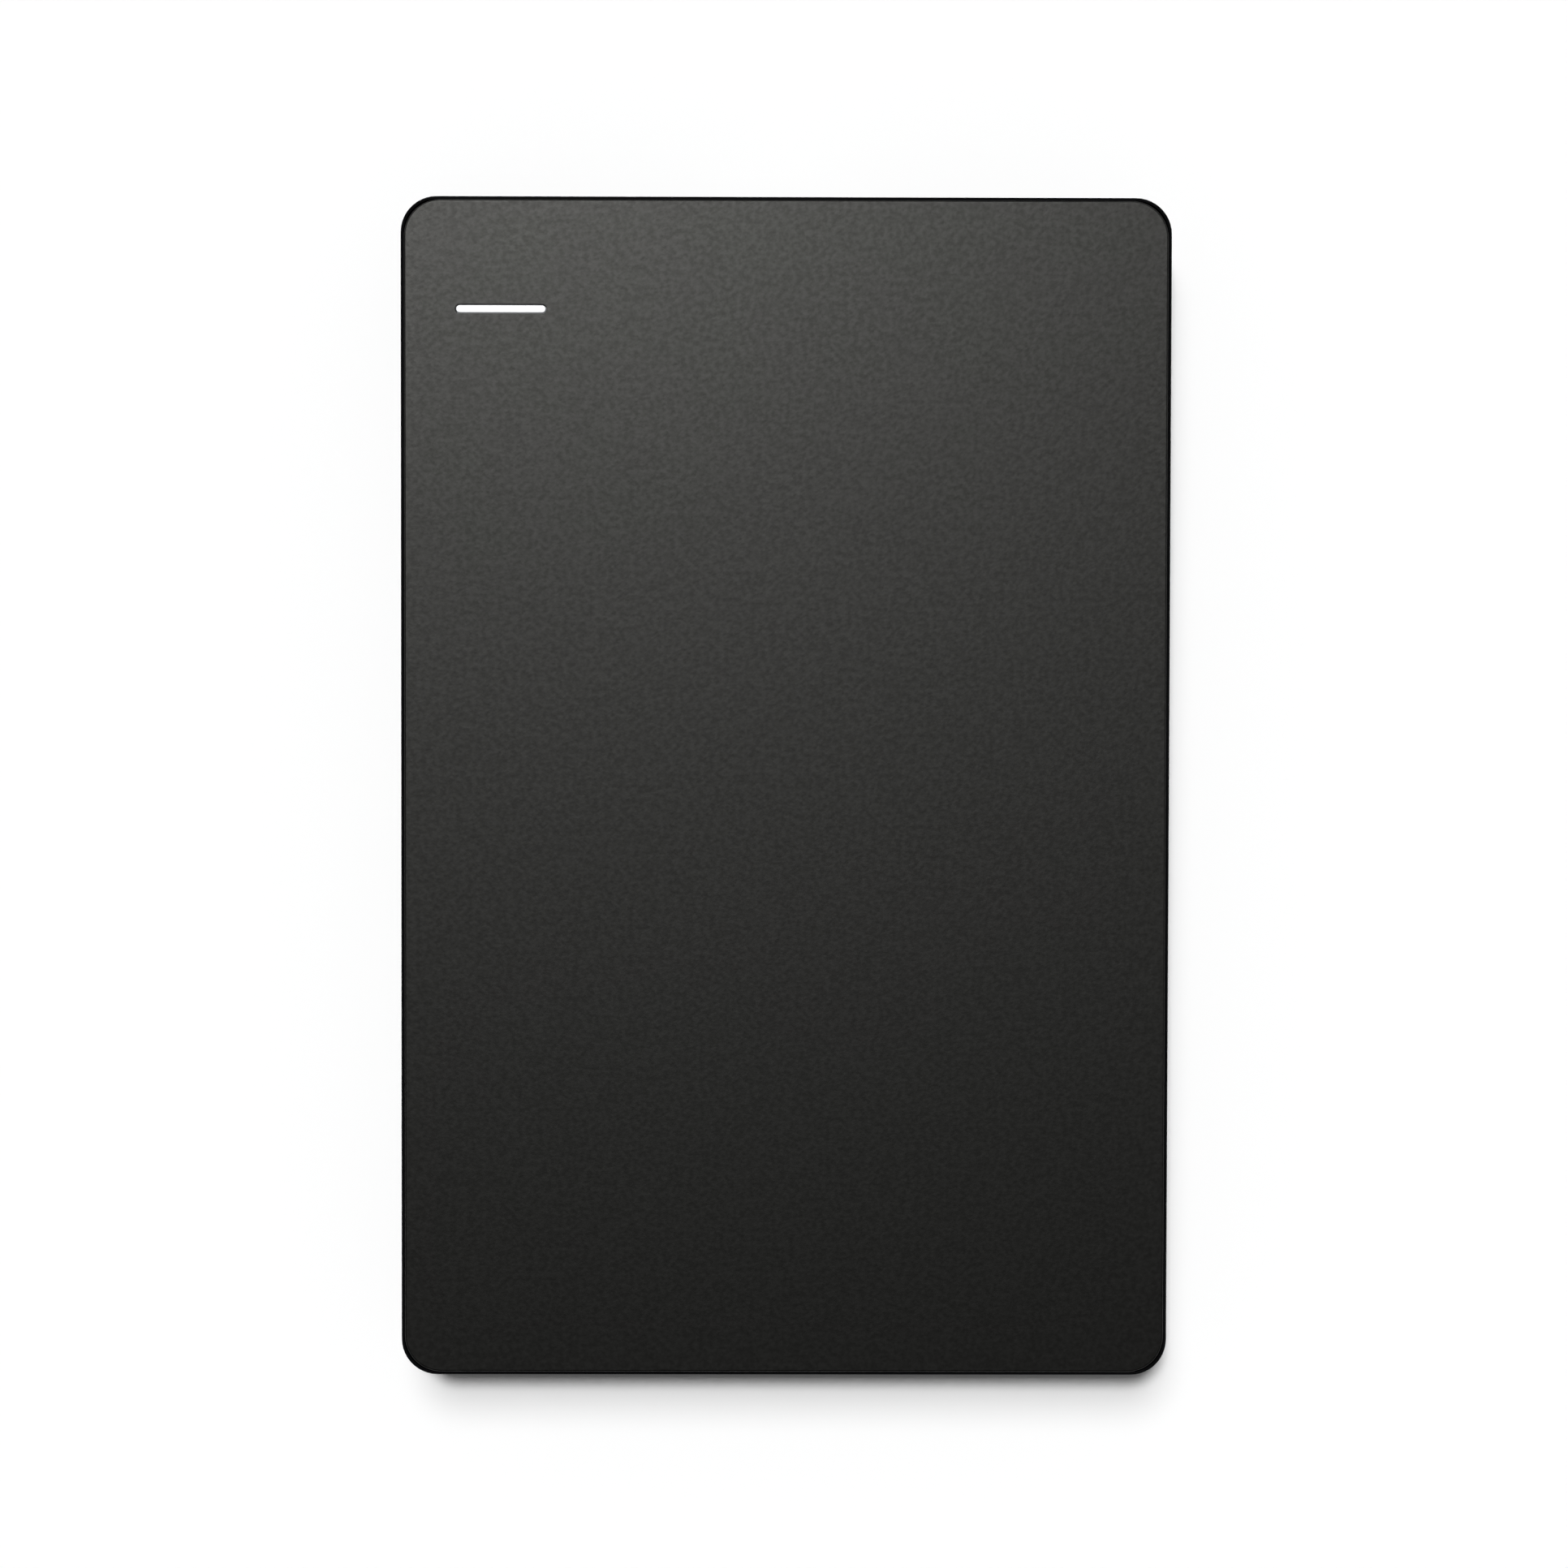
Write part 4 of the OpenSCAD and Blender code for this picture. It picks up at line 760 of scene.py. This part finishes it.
print("floor of", FLOOR_SIZE, "m")

# %% [markdown]
# ## The light
#
# Two soft lamps hang far above the port end of the drive, slightly to the left.
# Both are drawn as suns with wide disks, because a far lamp lights the floor
# evenly. The plate mirrors them as one broad glow that is brightest at its upper
# left corner and fades towards the lower edge. Their shadows fall only below the
# drive: the smaller, steeper lamp gives the dark line next to the lower edge, and
# the larger one the long soft tail. The studio fills in the rest. In mirror
# images the world is white at the horizon, where the walls are, and overhead
# towards the port end, where a white reflector hangs, and it is dark where the
# ceiling is. For all that is lit by it, it is a weak grey.

# %% Lamp and world
LAMP_SIDE = 5.5         # degrees from the vertical, towards the left
LAMPS = {
    # name: (degrees towards the port end, width of the disk in degrees, energy)
    "steep_lamp": (16.0, 8, 1.95),
    "broad_lamp": (25.5, 22, 1.3),
}
for name, (lean, width, energy) in LAMPS.items():
    bpy.ops.object.light_add(type="SUN", location=(0, 0, 1))
    lamp = bpy.context.object
    lamp.name = name
    lamp.data.energy = energy
    lamp.data.angle = math.radians(width)
    aim = Vector((math.tan(math.radians(LAMP_SIDE)), -math.tan(math.radians(lean)), -1))
    lamp.rotation_euler = aim.to_track_quat("-Z", "Y").to_euler()

WALLS_TOP = 0.08                    # the height, as a direction's Z, up to which walls are white
CEILING = 0.4                       # the height from which it is dark
CEILING_TONE = 0.02
REFLECTOR_SIDE = (0.24, 0.97, 0)    # towards the port end, and slightly to the right
REFLECTOR_START = -0.11             # where it begins to show, along that direction
REFLECTOR_FADE = 0.22
REFLECTOR_TONE = 0.9
FILL = 0.1                          # what the studio gives to all that isn't a mirror image
world = bpy.data.worlds.new("studio")
bpy.context.scene.world = world
world.use_nodes = True
tree = world.node_tree
background = tree.nodes["Background"]
direction = add(tree, "TexCoord").outputs["Generated"]
height = add(tree, "SeparateXYZ", {"Vector": direction}).outputs["Z"]
walls = add(tree, "MapRange", {
    "Value": height, "From Min": WALLS_TOP, "From Max": CEILING,
    "To Min": 1.0, "To Max": CEILING_TONE,
}, interpolation_type="SMOOTHSTEP")
toward = add(tree, "VectorMath", {0: direction, 1: REFLECTOR_SIDE}, operation="DOT_PRODUCT")
reflector = add(tree, "MapRange", {
    "Value": toward.outputs["Value"], "From Min": REFLECTOR_START,
    "From Max": REFLECTOR_START + REFLECTOR_FADE, "To Max": REFLECTOR_TONE,
}, interpolation_type="SMOOTHSTEP")
white = add(tree, "Math", {0: walls.outputs["Result"], 1: reflector.outputs["Result"]},
            operation="MAXIMUM")
path = add(tree, "LightPath")
mirrored = add(tree, "Math", {
    0: path.outputs["Is Glossy Ray"], 1: path.outputs["Is Transmission Ray"],
}, operation="MAXIMUM")
unseen = add(tree, "Mix", {0: mirrored.outputs[0], 2: FILL, 3: white.outputs[0]})
brightness = add(tree, "Mix", {0: path.outputs["Is Camera Ray"], 2: unseen.outputs[0], 3: 1.0})
tree.links.new(brightness.outputs[0], background.inputs["Strength"])
background.inputs["Color"].default_value = linear("#ffffff")
print(len(LAMPS), "lamps, leaning", LAMP_SIDE, "degrees to the left")

# %% [markdown]
# ## The camera
#
# The picture is taken from straight above, at a distance of about a third of a
# metre. The camera stands a little to the port end of the middle and looks back
# by less than two degrees, as the slightly narrower lower end of the plate shows.

# %% Camera
CAMERA_PLACE = Vector((-2.15, 10.31, 350)) * MM
CAMERA_TURN = (-1.667, -0.338, 0.123)   # degrees about X, Y and Z
LENS = 78.53                            # mm, on a sensor of the common width
SENSOR = 36
bpy.ops.object.camera_add(
    location=CAMERA_PLACE, rotation=[math.radians(angle) for angle in CAMERA_TURN])
camera = bpy.context.object
camera.name = "camera"
camera.data.lens = LENS
camera.data.sensor_width = SENSOR
bpy.context.scene.camera = camera
bpy.context.scene.view_settings.view_transform = "Standard"
print("camera looks down from", round(camera.location.z / MM), "mm")
